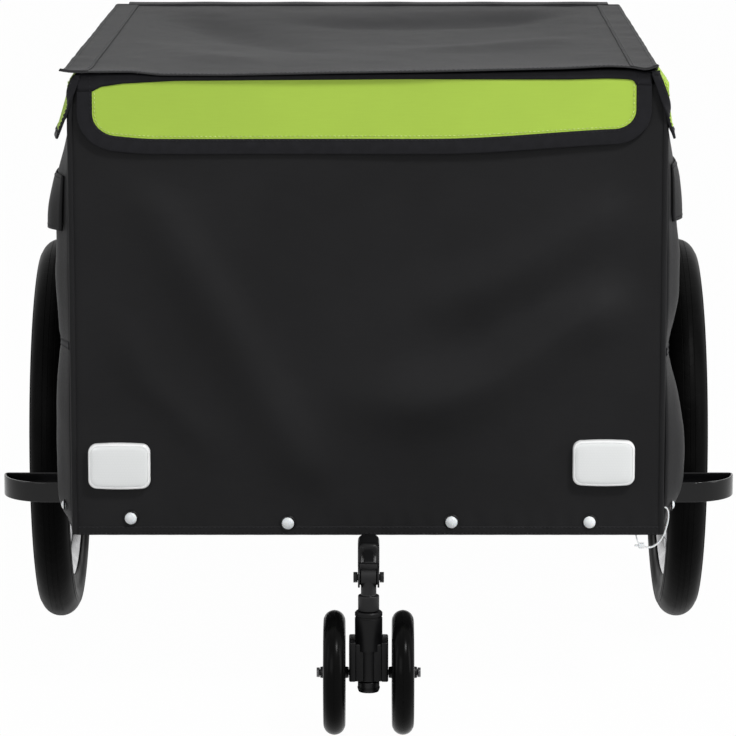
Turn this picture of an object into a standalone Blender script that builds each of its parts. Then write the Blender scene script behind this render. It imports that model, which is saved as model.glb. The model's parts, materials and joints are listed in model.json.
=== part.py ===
"""Child bike trailer: a boxed cloth cabin on a tube frame, two spoked wheels and a twin front caster.

Units are metres, +Z is up and the front of the trailer looks along -Y. The origin is on the ground,
below the middle of the whole trailer. Every piece of the real trailer is one closed object.
"""
import math

import bmesh
import bpy
from mathutils import Matrix, Vector

# Fits
CLEAR = 0.0003            # gap that touching pieces keep
RUNNING = 0.0004          # gap of a piece that turns or slides on another

# Cabin
BODY_LENGTH = 0.785       # front cloth to rear cloth
BODY_WIDTH = 0.572        # side cloth to side cloth, at the corners
HEM_HEIGHT = 0.167        # lower edge of the cloth over the ground
ROOF_HEIGHT = 0.615       # top of the roof cloth over the ground
CLOTH = 0.0016            # coated polyester with its hems
AXLE_SETBACK = 0.385      # front cloth to wheel axle
FRONT_CELLS = (18, 11)    # grids of the cloth pieces
SIDE_CELLS = (14, 10)
REAR_CELLS = (10, 7)
FRONT_DRAPE = 0.0060      # how far the folds stand off the plane of the front cloth
FRONT_BELLY = 0.0035
REAR_SLACK = 0.0030
POCKET_SLACK = 0.0190     # how far the side cloth bags out at the sewn pocket
POCKET_RISE = 0.085       # middle of that bag over the hem
UPPER_SLACK = 0.0150      # and at the fold above it
UPPER_RISE = 0.283
CLOTH_SWAY = 0.0016
SWAY_PEAK = 2.4              # the most that the slow wave makes of it
FLAT_MARGIN = 0.012       # cloth lies flat this far past a bumper or a skirt
FOLD_EASE = 0.045         # length over which the cloth goes from flat to slack

# Frame tubes
TUBE = 0.020              # outer side of the square frame tube
TUBE_WALL = 0.0015
TUBE_RADIUS = 0.003       # outer corner radius of the tube
RAIL_ABOVE_HEM = 0.004    # the hem hangs this far below the base rails
CROSS_SPREAD = 0.300      # distance between the two cross tubes under the floor

# Floor
FLOOR = 0.004

# Roof cover
HOOP_DIAMETER = 0.006     # steel rod sewn under the edge of the roof
HOOP_BEND = 0.030         # bend radius of its front corners
HOOP_ELBOW = 0.008        # bend radius of its rear elbows
PIN_LENGTH = 0.040        # straight end that turns in the hinge clip
HINGE_SPACE = 0.0065      # the roof cloth ends this far before the hinge line
ROOF_BRIM = 0.007         # the roof stands this far past the front skirt
SIDE_BRIM = 0.0015        # and this far past the side skirts
ROOF_BILLOW = 0.003       # how far the roof cloth rises between its edges
ROOF_CELLS = (12, 12)
CLIP_WALL = 0.0015
CLIP_WIDTH = 0.014
SKIRT_GAP = 0.0015        # air between a skirt and the cabin cloth
SKIRT_CORNER = 0.019      # radius of a skirt's lower corners
SKIRT_BEND = 0.003        # bend of the rear skirt over the rear rail
SKIRT_LAP = 0.008         # the rear skirt reaches this far past the hinge line
SKIRT_SWAY = 0.0015
FRONT_SKIRT_CELLS = (20, 2)
SIDE_SKIRT_CELLS = (14, 2)
FRONT_SKIRT_INSET = 0.012 # side of the cabin to the end of the front skirt
FRONT_SKIRT_DROP = 0.073
SIDE_SKIRT_DROP = 0.062
SIDE_SKIRT_FLARE = 0.012  # how far the lower edge of a side skirt stands out
REAR_SKIRT_DROP = 0.070

# Main wheels
WHEEL_DIAMETER = 0.400    # 16 inch wheel with its tyre
WHEEL_OFFSET = 0.0397     # side of the cabin to the middle plane of the wheel
TYRE_WIDTH = 0.039
TYRE_DEPTH = 0.0415       # from the tread to the bead
TYRE_WALL = 0.0030
TYRE_POINTS = 7           # steps round the tread
TYRE_WRAP = 125           # how far the round part goes round, in degrees
RIM_WIDTH = 0.026
RIM_DEPTH = 0.020         # flange edge to inner side
RIM_FLANGE = 0.006        # flange edge over the bead seat
RIM_WELL = 0.005
RIM_WALL = 0.0022
RIM_SIDE = 0.003          # straight side of the rim below the bead seat
RIM_TAPER = 0.008         # how far its sides draw in below that
HUB_LENGTH = 0.044
HUB_RADIUS = 0.0125
HUB_WAIST = 0.002         # how far the hub narrows between its flanges
FLANGE_RADIUS = 0.021
FLANGE_SPREAD = 0.032
FLANGE_THICKNESS = 0.003
SPOKES = 20
SPOKE_DIAMETER = 0.0024
SPOKE_PASS = 0.0032       # leading and trailing spokes pass each other this far apart
SPOKE_STAGGER = 0.003     # spoke holes in the rim lie this far off its middle
SPOKE_INSET = 0.0035      # flange edge to the spoke's hub hole
SPOKE_LEAN = 68           # degrees round the hub between a spoke's hub hole and its rim hole
AXLE_DIAMETER = 0.012
AXLE_TIP = 0.008          # axle past the hub
AXLE_NUT = (0.0105, 0.006)  # radius and height of the nut on it
WHEEL_STEPS = 32
HUB_STEPS = 14

# Axle brackets
PLATE_THICKNESS = 0.004
PLATE_LENGTH = 0.062
PLATE_FOOT = 0.009        # lower edge of the plate below the rail's middle
PLATE_CROWN = 0.026       # plate above the axle line
SLEEVE_RADIUS = 0.013

# Wheel bumpers
BUMPER_STRIP = 0.0025
BUMPER_HEIGHT = 0.020
BUMPER_REACH = 0.080      # side of the cabin to the bumper's outer side
BUMPER_FRONT = 0.102      # front cloth to the front leg of the bumper
BUMPER_DEPTH = 0.050      # front leg to rear leg
BUMPER_RISE = 0.031       # top of the bumper over the hem
BUMPER_TAB = 0.018
BUMPER_BEND = 0.0035
BUMPER_NOSE = 0.044       # radius of its outer front corner

# Reflectors
REFLECTOR_WIDTH = 0.060
REFLECTOR_HEIGHT = 0.045
REFLECTOR_DEPTH = 0.009
REFLECTOR_CORNER = 0.008
REFLECTOR_BOW = 0.0018    # how far its upper and lower sides bow out
REFLECTOR_EDGE = 0.0022
REFLECTOR_INSET = 0.051   # side of the cabin to the reflector's middle
REFLECTOR_RISE = 0.0685   # middle of the reflector over the hem

# Front caster
CASTER_REACH = 0.115      # front cloth to the caster axle
CASTER_DIAMETER = 0.118
CASTER_WIDTH = 0.0225
CASTER_SPREAD = 0.0648    # distance between its two wheels
CASTER_TRAIL = 0.014      # the axle lies this far behind the swivel line
CASTER_STEPS = 24
CASTER_AXLE_DIAMETER = 0.006
CASTER_AXLE_HEAD = (0.0048, 0.003)  # radius and height of the axle's ends
CASTER_HUB_RADIUS = 0.040
CASTER_SEAT_WIDTH = 0.017 # width of the rim ring that carries the caster's tyre
CASTER_RING = 0.004       # thickness of that ring
CASTER_WEB = 0.005
CASTER_BOSS = 0.0055      # radius of the hub boss
CASTER_DRAFT = 0.001      # taper of the hub's moulded walls
CASTER_HOLES = 5
CASTER_HOLE_RADIUS = 0.0075
CASTER_HOLE_RING = 0.0215
STEM_DIAMETER = 0.016
SPINDLE_DIAMETER = 0.013
COLLAR_DIAMETER = 0.020
COLLAR_HEIGHT = 0.0116
HOUSING_DIAMETER = 0.026
HOUSING_RISE = 0.063      # top of the swivel housing over the caster axle
CARRIER_WIDTH = 0.037
CARRIER_FRONT = 0.012     # carrier block ahead of the swivel line
CARRIER_BACK = 0.024      # carrier block behind the swivel line
CARRIER_RISE = 0.035      # its top over the caster axle
CARRIER_DROP = 0.009      # its foot below the caster axle
CARRIER_EDGE = 0.003
CARRIER_COLUMN = 0.0208   # width of the upright column between the carrier's two cheeks
CARRIER_GROOVE = 0.0022   # gap between column and cheek, as seen from the front
CARRIER_GROOVE_DEPTH = 0.007
CARRIER_CAP = 0.004       # the grooves end this far below the carrier's top
END_CAP_DIAMETER = 0.022
END_CAP_HEIGHT = 0.0096
END_CAP_EDGE = 0.003
FOLD_BOLT_DIAMETER = 0.006
FOLD_BOLT_HEAD = (0.0052, 0.004)  # radius and height of the bolt's head and nut
ARM_WIDTH = 0.014
ARM_HEIGHT = 0.022
ARM_BELOW_HEM = 0.0015
ARM_EDGE = 0.003
ARM_TAIL = 0.004          # arm past the front cross tube
EAR_THICKNESS = 0.0018
EAR_LENGTH = 0.030
EAR_INSET = 0.001         # the ears are lower than the arm by this above and below
EAR_ROOT = 0.008          # length of the crosspiece that the ears stand on

# Tow bar, pushed in under the floor
TOW_SIDE = -0.150         # the bar lies left of the middle
TOW_BELOW_RAIL = 0.021    # middle of the bar below the base rails
TOW_FRONT = 0.195         # front cloth to the front end of the pushed-in bar
TOW_OUTER = 0.024         # square outer tube
TOW_WALL = 0.0024
TOW_RADIUS = 0.0025
TOW_OUTER_LENGTH = 0.540
TOW_INNER_WALL = 0.0016
TOW_INNER_RADIUS = 0.0022
TOW_INNER_LENGTH = 0.520
TOW_INNER_STICK = 0.012   # the inner tube stands out of the outer one by this
TOW_PLUG = 0.006          # plug in the front end of the inner tube
RECEIVER_LENGTH = 0.360
RECEIVER_WALL = 0.0022
HANGER_WIDTH = 0.020
TONGUE = (0.016, 0.008)   # width and height of the tongue at the bar's end
TONGUE_REACH = 0.013      # bar end to coupler pivot
TONGUE_TIP = 0.008        # pivot to the end of the tongue
TONGUE_SWING = 0.0045     # room for the tongue's corners as the coupler turns
COUPLER_WIDTH = 0.018
COUPLER_PLATE = 0.003
COUPLER_TAIL = 0.009      # coupler behind its pivot
COUPLER_WEB = 0.008
COUPLER_MOUTH = 0.018     # depth of the mouth that takes the bicycle's hitch plate
COUPLER_GAPE = 0.0076     # height of that mouth
HITCH_PIN_DIAMETER = 0.006
HITCH_PIN_HEAD = (0.005, 0.003)  # radius and height
HITCH_PIN_TIP = 0.002     # pin below the coupler

# Seat
SEAT_SETBACK = 0.360      # front cloth to the seat hoop
SEAT_HOOP_DIAMETER = 0.018
SEAT_HOOP_RISE = 0.109    # hoop over the base rails
SEAT_HOOP_BEND = 0.035
SLING_WIDTH = 0.400
SLING = 0.0020
SLING_FRONT = 0.018       # the sling ends this far below the middle of the hoop
SEAT_CORNER_SETBACK = 0.612
SEAT_CORNER_RISE = 0.041  # lowest line of the seat over the base rails
SEAT_CORNER_BEND = 0.045
BACK_TOP_DROP = 0.0468    # where the sling meets the rear rail, below the frame's top
BACK_TOP_BEND = 0.030
SLING_END = 0.002         # the sling ends this far below the frame's top
PAD_WIDTH = 0.360
PAD_START = 0.010         # hoop to the front edge of the seat pad
SEAT_PAD_LENGTH = 0.200
BACK_PAD_START = 0.060    # seat corner to the lower edge of the back pad
BACK_PAD_LENGTH = 0.255
PAD_THICKNESS = 0.026
PAD_PULL = 0.012          # how far a pad's side draws in between its corners
PAD_COLUMNS = 4
CHANNELS = 3              # sewn channels across a pad
CHANNEL_DEPTH = 0.30      # share of the pad's thickness that a channel sinks
STRAP_WIDTH = 0.020
STRAP = 0.0018
STRAP_SPREAD = 0.150
STRAP_REST = 0.0006       # gap of straps and buckle over the pads
STRAP_SLACK = 0.003       # how far a strap stands off the crown of the back pad
BUCKLE_SIZE = (0.048, 0.060, 0.014)
BUCKLE_EDGE = 0.004
BUCKLE_PLACE = 0.60       # share of the seat pad in front of the buckle

# Derived places
CASTER_RADIUS = CASTER_DIAMETER / 2
WHEEL_RADIUS = WHEEL_DIAMETER / 2
REAR_REACH = REFLECTOR_DEPTH + CLEAR
FRONT = (CASTER_REACH + CASTER_RADIUS - BODY_LENGTH - REAR_REACH) / 2
REAR = FRONT + BODY_LENGTH
AXLE_Y = FRONT + AXLE_SETBACK
WHEEL_X = BODY_WIDTH / 2 + WHEEL_OFFSET
FRAME_X = BODY_WIDTH / 2 - CLOTH - CLEAR          # outer face of the frame
FRAME_FRONT = FRONT + CLOTH + CLEAR
FRAME_REAR = REAR - CLOTH - CLEAR
RAIL_X = FRAME_X - TUBE / 2
RAIL_FRONT = FRAME_FRONT + TUBE / 2
RAIL_REAR = FRAME_REAR - TUBE / 2
BASE_Z = HEM_HEIGHT + RAIL_ABOVE_HEM + TUBE / 2
BASE_TOP = BASE_Z + TUBE / 2
BASE_FOOT = BASE_Z - TUBE / 2
ROOF_UNDER = ROOF_HEIGHT - CLOTH
HOOP_Z = ROOF_UNDER - CLEAR - HOOP_DIAMETER / 2
TOP_TOP = HOOP_Z - HOOP_DIAMETER / 2 - CLEAR
TOP_Z = TOP_TOP - TUBE / 2
HINGE_Y = RAIL_REAR
CROSS_FRONT = AXLE_Y - CROSS_SPREAD / 2
CROSS_REAR = AXLE_Y + CROSS_SPREAD / 2
BUMPER_TOP = HEM_HEIGHT + BUMPER_RISE
REFLECTOR_X = BODY_WIDTH / 2 - REFLECTOR_INSET
REFLECTOR_Z = HEM_HEIGHT + REFLECTOR_RISE
SKIRT_X = BODY_WIDTH / 2 + SKIRT_GAP              # inner face of a side skirt at its top
FRONT_SKIRT_WIDTH = BODY_WIDTH - 2 * FRONT_SKIRT_INSET
ROOF_X = SKIRT_X + CLOTH + SIDE_BRIM
ROOF_FRONT = FRONT - SKIRT_GAP - CLOTH - ROOF_BRIM
CASTER_Y = FRONT - CASTER_REACH
SWIVEL_Y = CASTER_Y - CASTER_TRAIL
CASTER_BOSS_HALF = CASTER_SPREAD / 2 - CARRIER_WIDTH / 2 - RUNNING
CARRIER_TOP = CASTER_RADIUS + CARRIER_RISE
CARRIER_FOOT = CASTER_RADIUS - CARRIER_DROP
HOUSING_TOP = CASTER_RADIUS + HOUSING_RISE
COLLAR_FOOT = HOUSING_TOP + RUNNING
ARM_TOP = HEM_HEIGHT - ARM_BELOW_HEM
ARM_Z = ARM_TOP - ARM_HEIGHT / 2
FOLD_Z = ARM_Z
SEAT_Y = FRONT + SEAT_SETBACK
SEAT_HOOP_Z = BASE_TOP + SEAT_HOOP_RISE
TOW_Y = FRONT + TOW_FRONT
TOW_Z = BASE_FOOT - TOW_BELOW_RAIL
TOW_INNER = TOW_OUTER - 2 * TOW_WALL - 2 * RUNNING
TOW_NOSE = TOW_Y - TOW_INNER_STICK
COUPLER_Y = TOW_NOSE - TONGUE_REACH
PIN_Y = COUPLER_Y - TONGUE_TIP - TONGUE_SWING - COUPLER_WEB - COUPLER_MOUTH / 2

# Colours and finishes: base colour, roughness, metallic
FINISHES = {
    "black_cloth": ((0.018, 0.018, 0.018), 0.85, 0.0),
    "roof_cloth": ((0.085, 0.085, 0.088), 0.80, 0.0),
    "green_cloth": ((0.38, 0.55, 0.07), 0.80, 0.0),
    "black_steel": ((0.012, 0.012, 0.013), 0.35, 0.3),
    "bright_steel": ((0.55, 0.55, 0.56), 0.30, 1.0),
    "tyre_rubber": ((0.010, 0.010, 0.010), 0.60, 0.0),
    "black_plastic": ((0.015, 0.015, 0.015), 0.45, 0.0),
    "white_lens": ((0.80, 0.81, 0.81), 0.25, 0.0),
    "red_lens": ((0.50, 0.02, 0.02), 0.25, 0.0),
    "seat_cloth": ((0.045, 0.045, 0.048), 0.90, 0.0),
    "webbing": ((0.020, 0.020, 0.020), 0.85, 0.0),
    "plywood": ((0.030, 0.030, 0.030), 0.70, 0.0),
}


def clear_scene():
    for item in list(bpy.data.objects):
        bpy.data.objects.remove(item, do_unlink=True)


def collection(name):
    group = bpy.data.collections.new(name)
    bpy.context.scene.collection.children.link(group)
    return group


def make_materials():
    made = {}
    for name, (colour, roughness, metallic) in FINISHES.items():
        material = bpy.data.materials.new(name)
        material.use_nodes = True
        shader = material.node_tree.nodes["Principled BSDF"]
        shader.inputs["Base Color"].default_value = (*colour, 1.0)
        shader.inputs["Roughness"].default_value = roughness
        shader.inputs["Metallic"].default_value = metallic
        material.diffuse_color = (*colour, 1.0)
        made[name] = material
    return made


clear_scene()
PARTS = collection("child_bike_trailer")
CUTTERS = collection("cutters")
MATERIALS = make_materials()


# Building blocks

def place(name, data, finish, at=(0, 0, 0), turn=None, group=None):
    """Link an object for mesh or curve data, with its material, at a place and turn."""
    item = bpy.data.objects.new(name, data)
    (group or PARTS).objects.link(item)
    if finish:
        data.materials.append(MATERIALS[finish])
    item.location = at
    if turn is not None:
        item.rotation_mode = "QUATERNION"
        item.rotation_quaternion = turn
    return item


def hide(item):
    """A cutter or a tool shape is not part of the trailer."""
    PARTS.objects.unlink(item)
    CUTTERS.objects.link(item)
    item.hide_render = True
    item.display_type = "WIRE"
    return item


def turn_to(axis):
    """Rotation that brings local Z to the given axis."""
    return Vector(axis).to_track_quat("Z", "Y")


def bevel(item, width, segments=2, angle=30):
    tool = item.modifiers.new("rounded edges", "BEVEL")
    tool.width = width
    tool.segments = segments
    tool.limit_method = "ANGLE"
    tool.angle_limit = math.radians(angle)
    return item


def boolean(item, tool, operation):
    step = item.modifiers.new(operation.lower(), "BOOLEAN")
    step.operation = operation
    step.object = hide(tool)
    return item


def block(name, size, at, finish, round_edge=0.0, segments=2, turn=None):
    mesh = bpy.data.meshes.new(name)
    shape = bmesh.new()
    bmesh.ops.create_cube(shape, size=1.0)
    bmesh.ops.scale(shape, vec=size, verts=shape.verts)
    shape.to_mesh(mesh)
    shape.free()
    item = place(name, mesh, finish, at, turn)
    if round_edge:
        bevel(item, round_edge, segments)
    return item


def cylinder(name, radius, length, at, axis, finish, steps=16):
    mesh = bpy.data.meshes.new(name)
    shape = bmesh.new()
    bmesh.ops.create_cone(shape, cap_ends=True, segments=steps, radius1=radius, radius2=radius,
                          depth=length)
    shape.to_mesh(mesh)
    shape.free()
    item = place(name, mesh, finish, at, turn_to(axis))
    mesh.shade_smooth()
    mesh.set_sharp_from_angle(angle=math.radians(35))
    return item


def turned(name, profile, at, axis, finish, steps, closed):
    """Turn a profile of (radius, height) about the axis; it runs down its outer side."""
    mesh = bpy.data.meshes.new(name)
    points = [(radius, 0.0, height) for radius, height in profile]
    count = len(points)
    edges = [(i, i + 1) for i in range(count - 1)]
    if closed:
        edges.append((count - 1, 0))
    mesh.from_pydata(points, edges, [])
    item = place(name, mesh, finish, at, turn_to(axis))
    screw = item.modifiers.new("turned", "SCREW")
    screw.axis = "Z"
    screw.steps = steps
    screw.render_steps = steps
    screw.use_merge_vertices = True
    screw.merge_threshold = 0.00005
    screw.use_smooth_shade = True
    return item


def rounded_square(side, radius, steps=1):
    """Outline of a square with round corners, counter-clockwise."""
    reach = side / 2 - radius
    outline = []
    for corner in range(4):
        start = corner * math.pi / 2
        cx = reach * (1 if corner in (0, 3) else -1)
        cy = reach * (1 if corner in (0, 1) else -1)
        for i in range(steps + 1):
            angle = start + i / steps * math.pi / 2
            outline.append((cx + radius * math.cos(angle), cy + radius * math.sin(angle)))
    return outline


def add_spline(curve, points, cyclic):
    spline = curve.splines.new("POLY")
    spline.points.add(len(points) - 1)
    for target, point in zip(spline.points, points):
        x, y, *rest = point
        target.co = (x, y, rest[0] if rest else 0.0, 1.0)
    spline.use_cyclic_u = cyclic


def flat_piece(name, outlines, thickness, at, axis, finish):
    """Extrude flat outlines, the later ones being holes, along the axis."""
    curve = bpy.data.curves.new(name, "CURVE")
    curve.dimensions = "2D"
    curve.fill_mode = "BOTH"
    curve.extrude = thickness / 2
    for outline in outlines:
        add_spline(curve, outline, True)
    return place(name, curve, finish, at, turn_to(axis))


def to_mesh(item):
    """Turn a curve into a welded mesh, so that it can be cut and joined."""
    bpy.context.view_layer.update()
    evaluated = item.evaluated_get(bpy.context.evaluated_depsgraph_get())
    mesh = bpy.data.meshes.new_from_object(evaluated)
    shape = bmesh.new()
    shape.from_mesh(mesh)
    bmesh.ops.remove_doubles(shape, verts=shape.verts, dist=0.00002)
    shape.to_mesh(mesh)
    shape.free()
    made = bpy.data.objects.new(item.name, mesh)
    PARTS.objects.link(made)
    made.matrix_world = item.matrix_world
    name = item.name
    bpy.data.objects.remove(item, do_unlink=True)
    made.name = name
    return made


def square_tube(name, start, end, side=TUBE, wall=TUBE_WALL, radius=TUBE_RADIUS, finish="black_steel"):
    """A square tube with open ends between two points on its middle line."""
    start, end = Vector(start), Vector(end)
    inner = max(radius - wall, wall / 2)
    outlines = [rounded_square(side, radius), rounded_square(side - 2 * wall, inner)]
    return flat_piece(name, outlines, (end - start).length, (start + end) / 2, end - start, finish)


def side_plate(name, outline, thickness, at, finish):
    """Extrude an outline of (y, z) points along X."""
    plate = flat_piece(name, [outline], thickness, at, (0, 0, 1), finish)
    plate.rotation_mode = "XYZ"
    plate.rotation_euler = (math.pi / 2, 0, math.pi / 2)
    return plate


def arc(middle, radius, start, end, steps):
    """Points on an arc round (x, y), from start to end in degrees."""
    angles = [math.radians(start + (end - start) * i / steps) for i in range(steps + 1)]
    return [(middle[0] + radius * math.cos(a), middle[1] + radius * math.sin(a)) for a in angles]


def round_rod(name, points, diameter, finish, resolution=1):
    curve = bpy.data.curves.new(name, "CURVE")
    curve.dimensions = "3D"
    curve.bevel_depth = diameter / 2
    curve.bevel_resolution = resolution
    curve.use_fill_caps = True
    add_spline(curve, points, False)
    return place(name, curve, finish)


def filleted(points, radii, steps=5):
    """A path through points whose inner corners are rounded by the given radii."""
    points = [Vector(p) for p in points]
    path = [points[0]]
    for i in range(1, len(points) - 1):
        before, corner, after = points[i - 1], points[i], points[i + 1]
        to_before = (before - corner).normalized()
        to_after = (after - corner).normalized()
        half = to_before.angle(to_after) / 2
        radius = radii[i - 1]
        run = radius / math.tan(half)
        middle = corner + (to_before + to_after).normalized() * (radius / math.sin(half))
        first = corner + to_before * run - middle
        last = corner + to_after * run - middle
        sweep = math.pi - 2 * half
        axis = first.cross(last).normalized()
        for k in range(steps + 1):
            path.append(middle + Matrix.Rotation(sweep * k / steps, 3, axis) @ first)
    path.append(points[-1])
    return path


def strip(name, path, across, thickness, finish, side=0.0):
    """A flat strip: a path swept across itself, then given its thickness."""
    across = Vector(across)
    mesh = bpy.data.meshes.new(name)
    points = [Vector(p) - across / 2 for p in path] + [Vector(p) + across / 2 for p in path]
    count = len(path)
    faces = [(i, i + 1, count + i + 1, count + i) for i in range(count - 1)]
    mesh.from_pydata(points, [], faces)
    item = place(name, mesh, finish)
    wall = item.modifiers.new("thickness", "SOLIDIFY")
    wall.thickness = thickness
    wall.offset = side
    wall.use_even_offset = True
    return item


def smooth_step(value, low, high):
    t = min(max((value - low) / (high - low), 0.0), 1.0)
    return t * t * (3 - 2 * t)


def bell(value, middle, width):
    return math.exp(-((value - middle) / width) ** 2)


def no_lift(u):
    return 0.0


def rounded_hem(width, drop, radius=SKIRT_CORNER):
    """Share of a skirt's drop by which its lower edge rises near its ends, for round corners."""
    def lift(u):
        inside = min(u, 1 - u) * width
        if inside >= radius:
            return 0.0
        return (radius - math.sqrt(radius ** 2 - (radius - inside) ** 2)) / drop
    return lift


def cloth(name, corner, along, up, cells, out, finish, thickness=CLOTH, lift=no_lift):
    """A sheet of cloth on a grid from one corner; out(u, v) gives how far it stands off its plane,
    and lift(u) the share of its height by which its lower edge rises."""
    corner, along, up = Vector(corner), Vector(along), Vector(up)
    normal = along.cross(up).normalized()
    columns, rows = cells
    points = []
    for j in range(rows + 1):
        for i in range(columns + 1):
            u, v = i / columns, j / rows
            rise = v + (1 - v) * lift(u)
            points.append(corner + along * u + up * rise + normal * out(u, v))
    faces = []
    for j in range(rows):
        for i in range(columns):
            a = j * (columns + 1) + i
            faces.append((a, a + 1, a + columns + 2, a + columns + 1))
    mesh = bpy.data.meshes.new(name)
    mesh.from_pydata(points, [], faces)
    item = place(name, mesh, finish)
    mesh.shade_smooth()
    wall = item.modifiers.new("thickness", "SOLIDIFY")
    wall.thickness = thickness
    wall.offset = 1.0
    return item


# Frame

def make_frame():
    """Square tubes, welded end to side: two layers of rails with a post at each corner."""
    post_foot = BASE_TOP + CLEAR
    post_top = TOP_Z - TUBE / 2 - CLEAR
    for side, x in (("left", -RAIL_X), ("right", RAIL_X)):
        square_tube(f"base_rail_{side}", (x, FRAME_FRONT, BASE_Z), (x, FRAME_REAR, BASE_Z))
        square_tube(f"top_rail_{side}", (x, FRAME_FRONT, TOP_Z), (x, FRAME_REAR, TOP_Z))
        for end, y in (("front", RAIL_FRONT), ("rear", RAIL_REAR)):
            square_tube(f"post_{end}_{side}", (x, y, post_foot), (x, y, post_top))
    reach = RAIL_X - TUBE / 2 - CLEAR
    for end, y in (("front", RAIL_FRONT), ("rear", RAIL_REAR)):
        square_tube(f"base_rail_{end}", (-reach, y, BASE_Z), (reach, y, BASE_Z))
        square_tube(f"top_rail_{end}", (-reach, y, TOP_Z), (reach, y, TOP_Z))
    for end, y in (("front", CROSS_FRONT), ("rear", CROSS_REAR)):
        square_tube(f"cross_tube_{end}", (-reach, y, BASE_Z), (reach, y, BASE_Z))


def make_floor():
    """A thin board on the base rails, notched round the four posts and the seat hoop."""
    width = 2 * FRAME_X - 2 * CLEAR
    length = FRAME_REAR - FRAME_FRONT - 2 * CLEAR
    middle = (FRAME_REAR + FRAME_FRONT) / 2
    height = BASE_TOP + CLEAR + FLOOR / 2
    board = block("floor_board", (width, length, FLOOR), (0, middle, height), "plywood")
    notch = TUBE + 2 * CLEAR
    for x in (-1, 1):
        for y in (RAIL_FRONT, RAIL_REAR):
            cutter = block("post_notch", (2 * notch, 2 * notch, 3 * FLOOR), (0, 0, height), None)
            toward = -1 if y == RAIL_FRONT else 1
            cutter.location = (x * (RAIL_X + TUBE / 2), y + toward * TUBE / 2, height)
            boolean(board, cutter, "DIFFERENCE")
        cutter = cylinder("hoop_notch", SEAT_HOOP_DIAMETER / 2 + 4 * CLEAR, 3 * FLOOR,
                          (x * RAIL_X, SEAT_Y, height), (0, 0, 1), None)
        boolean(board, cutter, "DIFFERENCE")


# Cabin cloth

def front_folds(u, v):
    """A broad drape that falls from the right side to a belly in the middle, a thinner ridge above it,
    and a steep ridge on the left. x runs from the middle, z from the hem."""
    x = (u - 0.5) * BODY_WIDTH
    z = v * (TOP_TOP - HEM_HEIGHT)
    below = TOP_TOP - HEM_HEIGHT - z - FRONT_SKIRT_DROP
    edge = smooth_step(u, 0.02, 0.14) * smooth_step(1 - u, 0.02, 0.14)
    edge *= smooth_step(z, FOLD_EASE, 2 * FOLD_EASE) * smooth_step(below, FLAT_MARGIN, FLAT_MARGIN + FOLD_EASE)
    past = math.hypot(REFLECTOR_WIDTH, REFLECTOR_HEIGHT)
    for side in (-1, 1):
        away = math.hypot(x - side * REFLECTOR_X, z - REFLECTOR_RISE)
        edge *= smooth_step(away, past, 1.6 * past)
    drape = bell(z, 0.132 + 0.40 * x, 0.034) * smooth_step(x, -0.02, 0.06)
    ridge = bell(z, 0.190 + 0.65 * x, 0.024) * smooth_step(x, 0.0, 0.08)
    steep = bell(x, -0.064 - 0.445 * z, 0.030)
    belly = bell(x, 0.030, 0.11) * bell(z, 0.140, 0.07)
    return edge * (FRONT_DRAPE * (drape + 0.5 * ridge + 0.6 * steep) + FRONT_BELLY * belly)


def side_folds(u, v):
    """u runs from the front; the cloth is slack above the hem and lies flatter beside the wheel."""
    along = u * BODY_LENGTH
    z = HEM_HEIGHT + v * (TOP_TOP - HEM_HEIGHT)
    flat = BODY_LENGTH / SIDE_CELLS[0]
    corner = smooth_step(along, 0, flat) * smooth_step(BODY_LENGTH - along, 0, flat)
    low = BUMPER_TOP + FLAT_MARGIN
    high = SIDE_SKIRT_DROP + FLAT_MARGIN
    edge = smooth_step(z, low, low + FOLD_EASE) * smooth_step(TOP_TOP - z, high, high + FOLD_EASE)
    free = smooth_step(abs(along - AXLE_SETBACK), WHEEL_RADIUS, 1.35 * WHEEL_RADIUS)
    pocket = POCKET_SLACK * bell(z - HEM_HEIGHT, POCKET_RISE, 0.055) * (0.25 + 0.75 * free)
    upper = UPPER_SLACK * bell(z - HEM_HEIGHT, UPPER_RISE, 0.060) * (0.6 + 0.4 * free)
    sway = CLOTH_SWAY * (SWAY_PEAK - 1 + math.sin(along * 28.0 + z * 9.0))
    return corner * edge * (pocket + upper + sway)


def rear_folds(u, v):
    edge = smooth_step(u, 0.02, 0.2) * smooth_step(1 - u, 0.02, 0.2)
    edge *= smooth_step(v, 0.30, 0.42) * smooth_step(1 - v, 0.22, 0.36)
    return edge * REAR_SLACK * (1 + 0.5 * math.sin(9.0 * u + 3.0 * v))


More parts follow.
